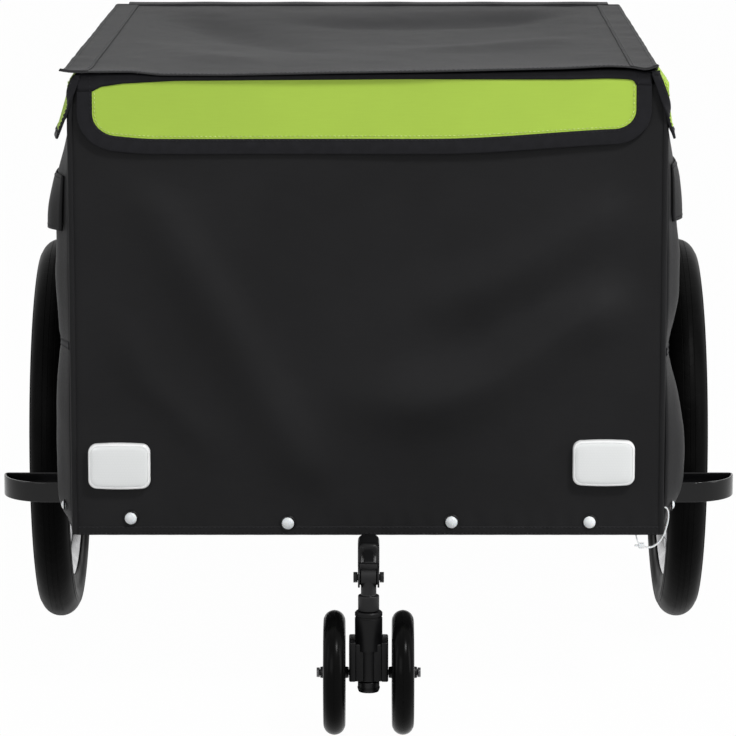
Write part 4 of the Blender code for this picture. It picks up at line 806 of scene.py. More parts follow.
def tape(name, face, path, width, thickness, finish, body, lift):
    """Flat tape sewn along a path of (s, t) on a face."""
    points = [face.lifted(*p, lift) for p in path]
    ups = [face.normal(*p) for p in path]
    made = sweep(bmesh.new(), points, ups, bar(width, thickness, thickness * 0.45))
    return piece(name, made, finish, body, (), 50)


print("tape helpers ready")

# %% [markdown]
# Stitches, rivets and weld beads repeat one small shape along a line or at given points, which is what
# Geometry Nodes are for. Each tree has named inputs for its sizes. The result is turned into a plain
# mesh at once, because an exported model can't hold instances.

# %% Trees of Geometry Nodes
def new_tree(name, inputs):
    """A Geometry Nodes tree with named inputs of (socket kind, value)."""
    tree = bpy.data.node_groups.new(name, "GeometryNodeTree")
    tree.interface.new_socket("Geometry", in_out="INPUT", socket_type="NodeSocketGeometry")
    for label, (kind, value) in inputs.items():
        socket = tree.interface.new_socket(label, in_out="INPUT", socket_type="NodeSocket" + kind)
        if value is not None:
            socket.default_value = value
    tree.interface.new_socket("Geometry", in_out="OUTPUT", socket_type="NodeSocketGeometry")
    return tree, tree.nodes.new("NodeGroupInput").outputs


def along_line(tree, use):
    """Points at a pitch along the incoming edges, and the turn that lays a thing along them."""
    line = add_node(tree, "GeometryNodeMeshToCurve", None, {0: use["Geometry"]})
    dots = add_node(tree, "GeometryNodeResampleCurve", {"mode": "LENGTH"},
                    {"Curve": line.outputs[0], "Length": use["Pitch"]})
    tangent = add_node(tree, "GeometryNodeInputTangent")
    lay = add_node(tree, "FunctionNodeAlignRotationToVector", {"axis": "X"}, {"Vector": tangent.outputs[0]})
    return dots.outputs[0], lay.outputs[0]


def put_on(tree, points, turned, thing, size):
    """One thing on every point, turned and scaled to three sizes."""
    scale = add_node(tree, "ShaderNodeCombineXYZ", None, dict(enumerate(size)))
    return add_node(tree, "GeometryNodeInstanceOnPoints", None,
                    {"Points": points, "Instance": thing.outputs[0], "Rotation": turned,
                     "Scale": scale.outputs[0]}).outputs[0]


def close_tree(tree, geometry, finish):
    """Realize the instances, round their shading, give them their finish and end the tree."""
    real = add_node(tree, "GeometryNodeRealizeInstances", None, {0: geometry})
    smooth = add_node(tree, "GeometryNodeSetShadeSmooth", None, {0: real.outputs[0]})
    coloured = add_node(tree, "GeometryNodeSetMaterial", None,
                        {0: smooth.outputs[0], "Material": finish})
    add_node(tree, "NodeGroupOutput", None, {0: coloured.outputs[0]})


def grown(name, points, edges, tree, values, finish, body, facing=None):
    """Run a tree on points and edges, and keep its result as a plain mesh that rides on a body."""
    mesh = bpy.data.meshes.new(name)
    mesh.from_pydata([tuple(p) for p in points], edges, [])
    if facing:
        way = mesh.attributes.new("facing", "FLOAT_VECTOR", "POINT")
        way.data.foreach_set("vector", [value for normal in facing for value in normal])
    item = bpy.data.objects.new(name, mesh)
    bpy.context.scene.collection.objects.link(item)
    step = item.modifiers.new("growth", "NODES")
    step.node_group = tree
    values = dict(values, Finish=Finish.made[finish].material)
    for socket in tree.interface.items_tree:
        if socket.item_type == "SOCKET" and socket.in_out == "INPUT" and socket.name in values:
            step[socket.identifier] = values[socket.name]
    ready = item.evaluated_get(bpy.context.evaluated_depsgraph_get())
    grown_mesh = bpy.data.meshes.new_from_object(ready)
    item.modifiers.remove(step)
    item.data = grown_mesh
    return carried(item, body)


def joined(rows, closed=False):
    """Rows of points as one list, with the edges that join each row."""
    points, edges = [], []
    for row in rows:
        start, count = len(points), len(row)
        points += row
        edges += [(start + k, start + (k + 1) % count) for k in range(count if closed else count - 1)]
    return points, edges


print("tree helpers ready")

# %% A row of stitches
stitch_tree, use = new_tree("stitches", {
    "Pitch": ("Float", 0.0042), "Length": ("Float", 0.0030), "Thickness": ("Float", 0.0008),
    "Finish": ("Material", None)})
thread = add_node(stitch_tree, "GeometryNodeMeshUVSphere", None, {"Segments": 6, "Rings": 4, "Radius": 0.5})
sewn = put_on(stitch_tree, *along_line(stitch_tree, use), thread,
              (use["Length"], use["Thickness"], use["Thickness"]))
close_tree(stitch_tree, sewn, use["Finish"])
HEM_STITCH = {"Pitch": 0.0042, "Length": 0.0042 * 0.72, "Thickness": 0.0008}
PAD_STITCH = {"Pitch": 0.0046, "Length": 0.0034, "Thickness": 0.0009}


def stitches(name, face, rows, finish, body, lift=0.0002):
    """Sew along rows of (s, t) on a face."""
    rows = [[face.lifted(*p, lift) for p in row] for row in rows]
    return grown(name, *joined(rows), stitch_tree, HEM_STITCH, finish, body)


print("stitch tree nodes", len(stitch_tree.nodes))

# %% Domed heads: snaps, rivets and screws
dome_tree, use = new_tree("domed_heads", {
    "Radius": ("Float", 0.006), "Rise": ("Float", 0.003), "Sides": ("Int", 24),
    "Finish": ("Material", None)})
ball = add_node(dome_tree, "GeometryNodeMeshUVSphere", None,
                {"Segments": use["Sides"], "Rings": 12, "Radius": 1.0})
way = add_node(dome_tree, "GeometryNodeInputNamedAttribute", {"data_type": "FLOAT_VECTOR"},
               {"Name": "facing"})
stand = add_node(dome_tree, "FunctionNodeAlignRotationToVector", {"axis": "Z"}, {"Vector": way.outputs[0]})
dots = add_node(dome_tree, "GeometryNodeMeshToPoints", None, {0: use["Geometry"]})
heads = put_on(dome_tree, dots.outputs[0], stand.outputs[0], ball,
               (use["Radius"], use["Radius"], use["Rise"]))
close_tree(dome_tree, heads, use["Finish"])


def domes(name, places, radius, rise, finish, body, sides=24):
    """Domed heads at (point, facing) places."""
    values = {"Radius": radius, "Rise": rise, "Sides": sides}
    points, facing = zip(*places)
    return grown(name, points, [], dome_tree, values, finish, body, facing)


print("dome tree nodes", len(dome_tree.nodes))

# %% Weld beads
weld_tree, use = new_tree("weld_bead", {
    "Pitch": ("Float", 0.0017), "Size": ("Float", 0.0052), "Seed": ("Int", 7),
    "Finish": ("Material", None)})
drop = add_node(weld_tree, "GeometryNodeMeshUVSphere", None, {"Segments": 8, "Rings": 5, "Radius": 0.5})
vary = add_node(weld_tree, "FunctionNodeRandomValue", {"data_type": "FLOAT"},
                {2: 0.85, 3: 1.1, "Seed": use["Seed"]})
drop_size = add_node(weld_tree, "ShaderNodeMath", {"operation": "MULTIPLY"},
                     {0: vary.outputs[1], 1: use["Size"]}).outputs[0]
flat_size = add_node(weld_tree, "ShaderNodeMath", {"operation": "MULTIPLY"}, {0: drop_size, 1: 0.7})
laid = put_on(weld_tree, *along_line(weld_tree, use), drop, (flat_size.outputs[0], drop_size, drop_size))
close_tree(weld_tree, laid, use["Finish"])


def weld(name, loops, body, size):
    """Weld beads along closed loops of points."""
    return grown(name, *joined(loops, True), weld_tree, {"Size": size}, "powder_coat", body)


print("weld tree nodes", len(weld_tree.nodes))

# %% [markdown]
# The front cloth is pulled over the frame but not flat. In the photograph a broad drape falls from the
# right edge to a shallow belly in the middle, a thinner one lies above it and a steep one on the left.
# A simulation would invent other folds, so these are modelled as soft ridges along measured lines, with
# finer creases from noise. Near the sides, the hem, the reflectors and the skirt the cloth is held flat,
# and each pair of lengths says where it comes free.

# %% Folds along measured lines
def soft_step(value, low, high):
    t = min(max((value - low) / (high - low), 0.0), 1.0)
    return t * t * (3 - 2 * t)


def bell(distance, width):
    return math.exp(-(distance / width) ** 2)


def read_off(table, at):
    """A value from a table of (place, value), on a line between its entries and level past its ends."""
    for (start, first), (end, last) in zip(table, table[1:]):
        if at <= end:
            return first + (last - first) * max(0.0, at - start) / (end - start)
    return table[-1][1]


def eased(table, at, step):
    """The same value, averaged over two steps to either side."""
    return sum(read_off(table, at + k * step) for k in (-2, -1, 0, 1, 2)) / 5


def flowing(points):
    """The same line with its corners cut twice, so that a fold runs smoothly."""
    for _ in range(2):
        inner = [(ax + (bx - ax) * t, az + (bz - az) * t)
                 for (ax, az), (bx, bz) in zip(points, points[1:]) for t in (0.25, 0.75)]
        points = [points[0], *inner[1:-1], points[-1]]
    return points


def ridge(x, z, points, height, width):
    """Height of one fold along a line of points; it fades out towards both ends."""
    run, nearest, at = 0.0, 9.0, 0.0
    for (ax, az), (bx, bz) in zip(points, points[1:]):
        length = math.dist((ax, az), (bx, bz))
        t = ((x - ax) * (bx - ax) + (z - az) * (bz - az)) / length ** 2
        t = min(max(t, 0.0), 1.0)
        gap = math.dist((x, z), (ax + (bx - ax) * t, az + (bz - az) * t))
        if gap < nearest:
            nearest, at = gap, run + t * length
        run += length
    fade = soft_step(at, -0.1 * run, 0.3 * run) * soft_step(run - at, -0.1 * run, 0.3 * run)
    return height * fade * bell(nearest, width)


# Each fold is its line, its height and its width
FRONT_FOLDS = [
    (flowing([(0.300, 0.396), (0.245, 0.392), (0.200, 0.376), (0.160, 0.346), (0.120, 0.318),
              (0.050, 0.296), (-0.010, 0.302)]), 0.0175, 0.028),
    (flowing([(0.275, 0.505), (0.215, 0.466), (0.165, 0.438), (0.110, 0.406), (0.040, 0.385)]),
     0.0090, 0.025),
    (flowing([(-0.230, 0.530), (-0.172, 0.430), (-0.122, 0.345), (-0.080, 0.265), (-0.040, 0.190)]),
     0.0110, 0.027),
    (flowing([(-0.262, 0.400), (-0.225, 0.335), (-0.180, 0.275), (-0.140, 0.240)]), 0.0042, 0.020),
]
REFLECTORS = ((-0.2411, 0.2357), (0.2273, 0.2389))
HELD_SIDES = (0.004, 0.070)
HELD_HEM = (0.020, 0.075)
HELD_TOP = (0.070, 0.125)
HELD_REFLECTOR = (0.044, 0.085)
BELLY = 0.0050
SEAM_TURN = (0.0, 0.006)


def front_relief(x, z):
    """How far the front cloth stands off its plane."""
    held = soft_step(HALF - abs(x), *HELD_SIDES) * soft_step(z - HEM, *HELD_HEM)
    held *= soft_step(TOP - z, *HELD_TOP)
    held *= soft_step(min(math.dist((x, z), at) for at in REFLECTORS), *HELD_REFLECTOR)
    folds = sum(ridge(x, z, *fold) for fold in FRONT_FOLDS)
    belly = BELLY * bell(x - 0.075, 0.10) * bell(z - 0.290, 0.060)
    fine = 0.0011 * noise.noise((x * 7, z * 9, 0.4)) + 0.0004 * noise.noise((x * 26, z * 22, 3.1))
    pucker = 0.00045 * math.sin(x * 290 + 2.0 * math.sin(x * 31)) * bell(z - HEM - 0.012, 0.012)
    return held * (folds + belly + fine + 0.0008) + pucker + 0.0004


def turned_back(edge, depth):
    """How far the cloth turns in towards its corner seam, this near to the edge."""
    return depth * (1 - soft_step(edge, *SEAM_TURN))


def front_point(s, t):
    x, z = s - HALF, TOP - t
    return Vector((x, FRONT - front_relief(x, z) + turned_back(HALF - abs(x), 0.0022), z))


front = Face(2 * HALF, HEIGHT, front_point, (0, -1, 0))
front_cloth = sheet("front_cloth", front, (150, 116), "black_polyester", "chassis", "front_panel")
most = FRONT - min(v.co.y for v in front_cloth.data.vertices)
print("front cloth stands off by up to", round(1000 * most, 1), "mm")

# %% [markdown]
# The side cloth is slack: it bags out above the hem and again under a sewn band near the top. The solid
# has those two bags. Here the outline that the photograph shows just behind each front corner is written
# down as heights and reaches, and the rule spreads it along the side: full in front, held flat by the
# bumper's tabs, and nearly flat beside the tyre.

# %% Side cloth
AXLE_Y = WHEEL.y
POCKET_SEAM = {-1: 0.352, 1: 0.346}
BANDS = {-1: (0.463, 0.516), 1: (0.472, 0.527)}
REACHES = {
    -1: ((0.160, 0.0), (0.172, 0.0060), (0.186, 0.0155), (0.200, 0.0185), (0.240, 0.0188), (0.290, 0.0190),
         (0.315, 0.0175), (0.340, 0.0150), (0.360, 0.0148), (0.395, 0.0170), (0.420, 0.0180),
         (0.445, 0.0162), (0.480, 0.0165), (0.515, 0.0140), (0.540, 0.0075), (0.575, 0.0)),
    1: ((0.160, 0.0), (0.172, 0.0040), (0.186, 0.0110), (0.197, 0.0180), (0.210, 0.0220), (0.240, 0.0232),
        (0.265, 0.0220), (0.285, 0.0190), (0.305, 0.0150), (0.325, 0.0090), (0.343, 0.0052),
        (0.358, 0.0065), (0.375, 0.0115), (0.392, 0.0152), (0.440, 0.0156), (0.470, 0.0115),
        (0.515, 0.0100), (0.540, 0.0060), (0.575, 0.0))}
TAB = FRONT + 0.078
BESIDE_TYRE = (0.190, 0.265)
SIDE_START = 0.0012


def side_bag(sign, y, z):
    """How far the side cloth stands out from the corner line."""
    along = y - FRONT
    corner = soft_step(along, -0.012, 0.045) * soft_step(LENGTH - along, 0.0, 0.070)
    tabs = soft_step(y, TAB - 0.028, TAB - 0.006) * (1 - 0.55 * soft_step(y, 0.30, 0.36))
    held = 1 - tabs * (1 - soft_step(z, 0.203, 0.262))
    free = soft_step(abs(y - AXLE_Y), *BESIDE_TYRE)
    rear = 1 - 0.25 * soft_step(along, 0.30, LENGTH)
    lower = 1 - soft_step(z, 0.300, 0.350)
    spread = (0.24 * lower + 0.55 * (1 - lower)) * (1 - free) + free
    fine = 0.0020 * noise.noise((along * 16, z * 5, 1.7))
    fine += 0.0006 * noise.noise((along * 50, z * 30, 5.0))
    reach = eased(REACHES[sign], z, 0.003)
    slack = soft_step(reach, 0.0, 0.012)
    pinch = 0.0020 * bell(z - POCKET_SEAM[sign], 0.006)
    sag = 0.0014 * math.sin(along * 26.0 + z * 9.0) * soft_step(along, 0.06, 0.14)
    return held * corner * (reach * spread * rear + slack * (fine + sag - pinch)) + 0.0002


def side_face(sign):
    def point(s, t):
        y, z = FRONT + SIDE_START + s, TOP - t
        return Vector((sign * (HALF + side_bag(sign, y, z) - turned_back(s, 0.0016)), y, z))
    return Face(LENGTH - 2 * SIDE_START, HEIGHT, point, (sign, 0, 0))


side_faces = {side: side_face(sign) for side, sign in SIDES}
side_cloths = {side: sheet(f"side_cloth_{side}", side_faces[side], (190, 110), "black_polyester",
                           "chassis", f"side_panel_{side}") for side, sign in SIDES}
print("side cloth", [round(v, 4) for v in side_faces["right"].point(0.35, 0.277)])

# %% Rear cloth
def rear_point(s, t):
    x, z = HALF - s, TOP - t
    held = soft_step(HALF - abs(x), 0.01, 0.10)
    held *= soft_step(z - HEM, 0.110, 0.180) * soft_step(TOP - z, 0.080, 0.140)
    slack = 0.0032 * (1 + 0.5 * math.sin(14.0 * x + 7.0 * z))
    slack += 0.0014 * noise.noise((x * 9, z * 11, 8.2)) + 0.0004 * noise.noise((x * 30, z * 26, 2.0))
    return Vector((x, REAR + held * slack + 0.0003 - turned_back(HALF - abs(x), 0.0022), z))


rear = Face(2 * HALF, HEIGHT, rear_point, (0, 1, 0))
rear_cloth = sheet("rear_cloth", rear, (110, 84), "black_polyester", "chassis", "rear_panel")
print("rear cloth", len(rear_cloth.data.polygons), "faces")

# %% [markdown]
# What makes sewn cloth look sewn is its edges: a folded hem with two rows of stitches, piping in the
# corner seams, a second layer for the band, and a bound slit where the axle bracket comes through. The
# piping is drawn in a little at the top, where the lid's flaps hang over it.

# %% Hems, piping and seams of the cabin
HEM_TAPE = 0.009
TAPE_GAP = 0.006
PIPING = 0.0031
PIPING_AT = (("front", FRONT + 0.0018, (-0.2850, 0.2834)), ("rear", REAR - 0.0018, (-0.2836, 0.2836)))
PIPING_POINTS = 41
cabin_faces = {"front": front, "rear": rear,
               "side_left": side_faces["left"], "side_right": side_faces["right"]}
for name, face in cabin_faces.items():
    path = level_row(face, HEIGHT - HEM_TAPE / 2, 0.001, TAPE_GAP)
    tape(f"hem_{name}", face, path, HEM_TAPE, 0.0022, "black_polyester", "chassis", -0.0004)
    rows = [level_row(face, HEIGHT - w, 0.006) for w in (0.0018, HEM_TAPE - 0.0014)]
    stitches(f"hem_stitches_{name}", face, rows, "black_thread", "chassis", 0.0008)
for end, y, corners in PIPING_AT:
    for (side, sign), x in zip(SIDES, corners):
        last = PIPING_POINTS - 1
        heights = [HEM + 0.0005 + (TOP - HEM - 0.001) * k / last for k in range(PIPING_POINTS)]
        path = [Vector((x - sign * 0.0024 * soft_step(z - TOP, -0.030, -0.008), y, z)) for z in heights]
        cord = sweep(bmesh.new(), path, [(0, 1, 0)] * PIPING_POINTS, round_bar(PIPING, 20))
        piece(f"piping_{end}_{side}", cord, "black_polyester", "chassis")
print("hems and piping done")

# %% The sewn band, the pocket seam and the bracket slit
BAND_START, BAND_SHORT = 0.012, 0.030
BAND_OPENS = {-1: 0.0062, 1: 0.0036}
SLIT_REACH, SLIT_RISE = 0.0365, 0.0315


def band_face(sign, parent):
    """The band lies on the side cloth and stands off most at its lower edge."""
    low, top = (TOP - z for z in BANDS[sign])
    length = LENGTH - BAND_SHORT

    def point(s, t):
        share = t / (low - top)
        ends = soft_step(s, -0.01, 0.03) * soft_step(length - s, 0.0, 0.02)
        lift = 0.0022 + ends * (BAND_OPENS[sign] * share + 0.0010 * math.sin(math.pi * share))
        return parent.lifted(s + BAND_START, top + t, lift)
    return Face(length, low - top, point, (sign, 0, 0))


def slit_line(crown):
    """From the hem up, over the axle bracket in half an oval, and down again."""
    middle_s = AXLE_Y - FRONT
    arch = [Vector((middle_s - SLIT_REACH * math.cos(math.pi * k / 12),
                    crown - SLIT_RISE * math.sin(math.pi * k / 12))) for k in range(1, 12)]
    first, last = middle_s - SLIT_REACH, middle_s + SLIT_REACH
    return [Vector((first, HEIGHT - 0.001)), Vector((first, crown)), *arch,
            Vector((last, crown)), Vector((last, HEIGHT - 0.001))]


for side, sign in SIDES:
    parent = side_faces[side]
    band = band_face(sign, parent)
    sheet(f"side_band_{side}", band, (150, 14), "black_polyester", "chassis", (), 0.0020)
    rows = [level_row(band, t, 0.004) for t in (0.003, band.height - 0.003)]
    stitches(f"band_stitches_{side}", band, rows, "black_thread", "chassis")
    seam = TOP - POCKET_SEAM[sign]
    path = level_row(parent, seam, 0.004, TAPE_GAP)
    tape(f"pocket_seam_{side}", parent, path, 0.008, 0.0012, "binding_tape", "chassis", 0.0003)
    rows = [level_row(parent, seam + w, 0.006) for w in (-0.0027, 0.0027)]
    stitches(f"pocket_stitches_{side}", parent, rows, "black_thread", "chassis", 0.0009)
    path = evenly(slit_line(TOP - WHEEL.z), 0.004)
    tape(f"slit_binding_{side}", parent, path, 0.008, 0.0014, "binding_tape", "chassis", 0.0003)
print("bands, pocket seams and slits done")

# %% Snap fasteners
FRONT_SNAPS = ((-0.2305, 0.1837), (-0.0782, 0.1788), (0.0805, 0.1798), (0.2144, 0.1798))
SIDE_SNAPS = (FRONT + 0.022, FRONT + 0.30, REAR - 0.25, REAR - 0.03)
REAR_SNAPS = (-0.21, -0.07, 0.07, 0.21)
SNAP_LIFT = 0.0005
flat_places = [(front, x + HALF, TOP - z) for x, z in FRONT_SNAPS]
flat_places += [(rear, HALF - x, TOP - 0.181) for x in REAR_SNAPS]
snap_places = [(face.lifted(s, t, SNAP_LIFT), face.normal(s, t)) for face, s, t in flat_places]
side_snap_places = [(side_faces[side].lifted(y - FRONT - SIDE_START, TOP - 0.1925, SNAP_LIFT),
                     Vector((sign, -0.12, 0))) for side, sign in SIDES for y in SIDE_SNAPS]
# The black rings under the front and side caps are drawn wider than the caps to stand for the shadow round
# each cap: painted shadow.
domes("snap_shade_rings", snap_places, 0.0078, 0.0016, "moulded_plastic", "chassis")
domes("snap_caps", snap_places, 0.0061, 0.0038, "white_nylon", "chassis")
domes("side_snap_rings", side_snap_places, 0.0056, 0.0012, "moulded_plastic", "chassis")
domes("side_snap_caps", side_snap_places, 0.0042, 0.0028, "white_nylon", "chassis")
print("snaps", len(snap_places) + len(side_snap_places))

# %% [markdown]
# The lid is a dark grey sheet with wide hems on both sides, held by a steel rod in its edge; it is drawn
# lighter than the cabin's black, partly as painted light from above. In the photograph it sits a little to
# the left, its front corners turn up and its front edge runs in a slow wave. A green flap with a black border
# hangs from it in front, and two more flare out at the sides.

# %% Roof cloth
ROOF_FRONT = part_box("roof_panel")[0].y
ROOF_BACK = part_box("roof_panel")[1].y
ROOF_WIDTH = 0.578
HEM_WIDTH = 0.027
ROOF_EDGE = ((-0.2955, 0.0056), (-0.2900, 0.0042), (-0.2820, 0.0032), (-0.2250, 0.0034), (-0.1985, 0.0006),
             (-0.1370, 0.0004), (-0.0390, 0.0026), (0.0700, 0.0042), (0.1250, 0.0054), (0.1890, 0.0069),
             (0.2280, 0.0090), (0.2480, 0.0082), (0.2650, 0.0052), (0.2740, 0.0094), (0.2800, 0.0110))
ROOF_FOLDS = [
    (flowing([(-0.205, 0.345), (-0.150, 0.180), (-0.085, 0.020), (-0.020, -0.110)]), -0.0058, 0.038),
    (flowing([(0.235, 0.385), (0.120, 0.300), (0.010, 0.270), (-0.100, 0.290)]), -0.0062, 0.042),
    (flowing([(0.230, 0.100), (0.140, 0.020), (0.040, -0.040)]), 0.0046, 0.040),
    (flowing([(-0.240, 0.060), (-0.190, -0.090), (-0.120, -0.200)]), 0.0030, 0.035),
]
ROOF_SAG = -0.0080


def roof_left(q):
    return -0.2940 + 0.0070 * q


def roof_right(q):
    return 0.2800 + 0.0055 * q - 0.0045 * (1 - soft_step(q, 0.0, 0.12))


def edge_lift(x):
    """Height of the roof's front edge over its plane, as the photograph shows it."""
    return eased(ROOF_EDGE, x, 0.002)


def roof_lift(x, y):
    """Height of the roof cloth over its plane: a waved front edge, a sag towards the rear, and folds."""
    ahead, behind = y - ROOF_FRONT, ROOF_BACK - y
    depth = ROOF_BACK - ROOF_FRONT
    beside = min(x - roof_left(ahead / depth), roof_right(ahead / depth) - x)
    front_edge = edge_lift(x) * bell(ahead, 0.028 + 0.045 * soft_step(beside, 0.0, 0.06))
    inside = soft_step(beside, 0.020, 0.130) * soft_step(ahead, 0.03, 0.16)
    inside *= soft_step(behind, 0.02, 0.12)
    sag = ROOF_SAG * soft_step(ahead, 0.05, 0.46) * soft_step(behind, 0.0, 0.28)
    folds = sum(ridge(x, y, *fold) for fold in ROOF_FOLDS) + 0.0030 * noise.noise((x * 5, y * 4, 2.2))
    fine = 0.0009 * noise.noise((x * 16, y * 9, 6.0)) + 0.0003 * noise.noise((x * 60, y * 34, 1.0))
    fine += 0.0008 * noise.noise((x * 4, y * 26, 3.0)) * bell(min(x - roof_left(0), 0.28 - x), 0.03)
    return front_edge + inside * (sag + folds) + fine * soft_step(ahead, 0.0, 0.04) + 0.0006


def roof_point(s, t):
    q = t / (ROOF_BACK - ROOF_FRONT)
    share = s / ROOF_WIDTH
    x = roof_left(q) + share * (roof_right(q) - roof_left(q))
    y = ROOF_FRONT + t
    bow = 0.0012 * math.sin(math.pi * share * 3)
    return Vector((x, y + bow * (1 - q), ROOF + roof_lift(x, y)))


roof = Face(ROOF_WIDTH, ROOF_BACK - ROOF_FRONT, roof_point, (0, 0, 1))
roof_cloth = sheet("roof_cloth", roof, (120, 150), "roof_polyester", "lid", "roof_panel", 0.0013)
HEM_SHORT = 0.0005


def roof_hem(start, end):
    """A second layer along one side of the roof, a little shorter than the roof."""
    return Face(end - start, roof.height - 2 * HEM_SHORT,
                lambda s, t: roof.lifted(start + s, t + HEM_SHORT, 0.0009), roof.outward)


ROOF_ROW_GAP = 0.008
RIGHT_HEM = ROOF_WIDTH - HEM_WIDTH
ROOF_HEMS = (("left", HEM_SHORT, HEM_WIDTH, (HEM_WIDTH - 0.003, 0.004)),
             ("right", RIGHT_HEM, ROOF_WIDTH - HEM_SHORT, (RIGHT_HEM + 0.003, ROOF_WIDTH - 0.004)))
for side, start, end, seams in ROOF_HEMS:
    sheet(f"roof_hem_{side}", roof_hem(start, end), (10, 120), "roof_polyester", "lid",
                           (), 0.0009)
    rows = [upright_row(roof, s, 0.004, ROOF_ROW_GAP) for s in seams]
    stitches(f"roof_stitches_{side}", roof, rows, "grey_thread", "lid", 0.0011)
rows = [level_row(roof, 0.005, HEM_WIDTH, ROOF_ROW_GAP)]
stitches("roof_front_stitches", roof, rows, "grey_thread", "lid")
path = level_row(roof, roof.height - 0.006, 0.002, TAPE_GAP)
tape("roof_rear_tape", roof, path, 0.014, 0.0030, "binding_tape", "lid", -0.0003)
print("roof corners", [[round(v, 4) for v in roof.point(s, 0.0)] for s in (0.0, ROOF_WIDTH)])

# %% Front skirt
SKIRT_LEFT, SKIRT_RIGHT = -0.2775, 0.2690
SKIRT_DROP = 0.0725
GREEN_TOP = ((-0.2775, 0.5990), (-0.2625, 0.5994), (-0.2595, 0.6012), (-0.2545, 0.6038), (-0.2337, 0.6068),
             (-0.1842, 0.6094), (-0.1100, 0.6100), (0.0400, 0.6110), (0.1900, 0.6107), (0.2276, 0.6116),
             (0.2460, 0.6110), (0.2505, 0.6102), (0.2530, 0.6086), (0.2545, 0.6055), (0.2690, 0.6050))


def skirt_foot(x):
    """Height of the skirt's lower edge: level in the middle and raised at both ends, most on the right."""
    return 0.5398 + 0.0108 * soft_step(x, 0.06, 0.27) + 0.0055 * soft_step(-x, 0.205, 0.275)


def skirt_top(x):
    """Height of the skirt's upper edge, which follows most of the roof's wave."""
    return ROOF - 0.0028 + edge_lift(x) * 0.8


def front_skirt_point(s, t):
    x = SKIRT_LEFT + s
    top = skirt_top(x)
    z = top + (skirt_foot(x) - top) * t / SKIRT_DROP
    sway = t / SKIRT_DROP * 0.0012 * (1 + math.sin(13 * x)) + 0.0006 * noise.noise((x * 12, z * 20, 9.0))
    return Vector((x, FRONT - 0.0033 - sway, z))


def green_top(s):
    """How far down the skirt its green part starts."""
    x = SKIRT_LEFT + s
    top = skirt_top(x)
    return SKIRT_DROP * (top - read_off(GREEN_TOP, x)) / (top - skirt_foot(x))


def round_ends(width, radius, start_radius):
    """Takes a length off both ends of the rows near the lower and the upper edge of a flap."""
    def trim(t):
        low = max(0.0, t - (width - radius))
        high = max(0.0, start_radius - t)
        cut = radius - math.sqrt(max(0.0, radius ** 2 - low ** 2))
        cut += start_radius - math.sqrt(max(0.0, start_radius ** 2 - high ** 2))
        return cut + 0.001, cut + 0.001
    return trim


BORDER = 0.015
skirt = Face(SKIRT_RIGHT - SKIRT_LEFT, SKIRT_DROP, front_skirt_point, (0, -1, 0))
skirt_cloth = sheet("front_skirt_cloth", skirt, (150, 28), "green_polyester", "lid", "front_skirt", 0.0012,
                    round_ends(SKIRT_DROP, 0.036, 0.002))


def border_path(face, radius, inset):
    """Down one end of a flap, along its lower edge and up the other end."""
    whole = corner_path(inset, face.width - inset, -0.05, face.height - inset,
                        (0.001, 0.001, radius, radius), 0.003)
    first = next(i for i, p in enumerate(whole) if p.x > face.width / 2 and p.y > 0.001)
    return [p for p in whole[first:] + whole[:first] if p.y > 0.0012]


def flap_border(name, face, radius, body, width=BORDER, start=0.006):
    """Black border tape with a row of stitches at its inner edge and one in the coloured cloth."""
    edge = width * 0.95
    black_row = border_path(face, radius - 0.005, edge - 0.0020)
    green_row = [p for p in border_path(face, radius - 0.009, edge + 0.0022) if p.y > start]
    return [
        tape(f"{name}_border", face, border_path(face, radius, width * 0.45), width, 0.0027,
             "binding_tape", body, -0.0006),
        stitches(f"{name}_border_stitches", face, [black_row], "black_thread", body, 0.0010),
        stitches(f"{name}_top_stitches", face, [green_row], "green_thread", body, 0.0003)]


skirt_trim = flap_border("front_skirt", skirt, 0.027, "lid", start=0.014)


def band_point(s, t):
    """A black strip along the top of the front skirt, down to where its green part starts; it is border tape
    and also painted shade under the roof's front edge.
    """
    return skirt.lifted(s, -0.0012 + t * (green_top(s) + 0.0012), 0.0009)


# This black band is partly border tape and partly painted shade under the roof's front edge.
top_band = Face(skirt.width, 1.0, band_point, (0, -1, 0))
skirt_trim.append(sheet("front_skirt_band_and_shade", top_band, (300, 4), "binding_tape", "lid", (), 0.0022))
print("front skirt", round(skirt.width, 3), "m wide")

# %% Side skirts
SIDE_DROP = 0.066
SIDE_BORDER = 0.0085
SHOULDER = 0.2864
SHOULDER_RISE = (0.6140, 0.6072)
# Side, sign, reach under the roof, flare of the foot, reach of the front edge above and below
FLAPS = (("left", -1, 0.2800, 0.0165, (0.2740, 0.2985)), ("right", 1, 0.2765, 0.0085, (0.2685, 0.2930)))


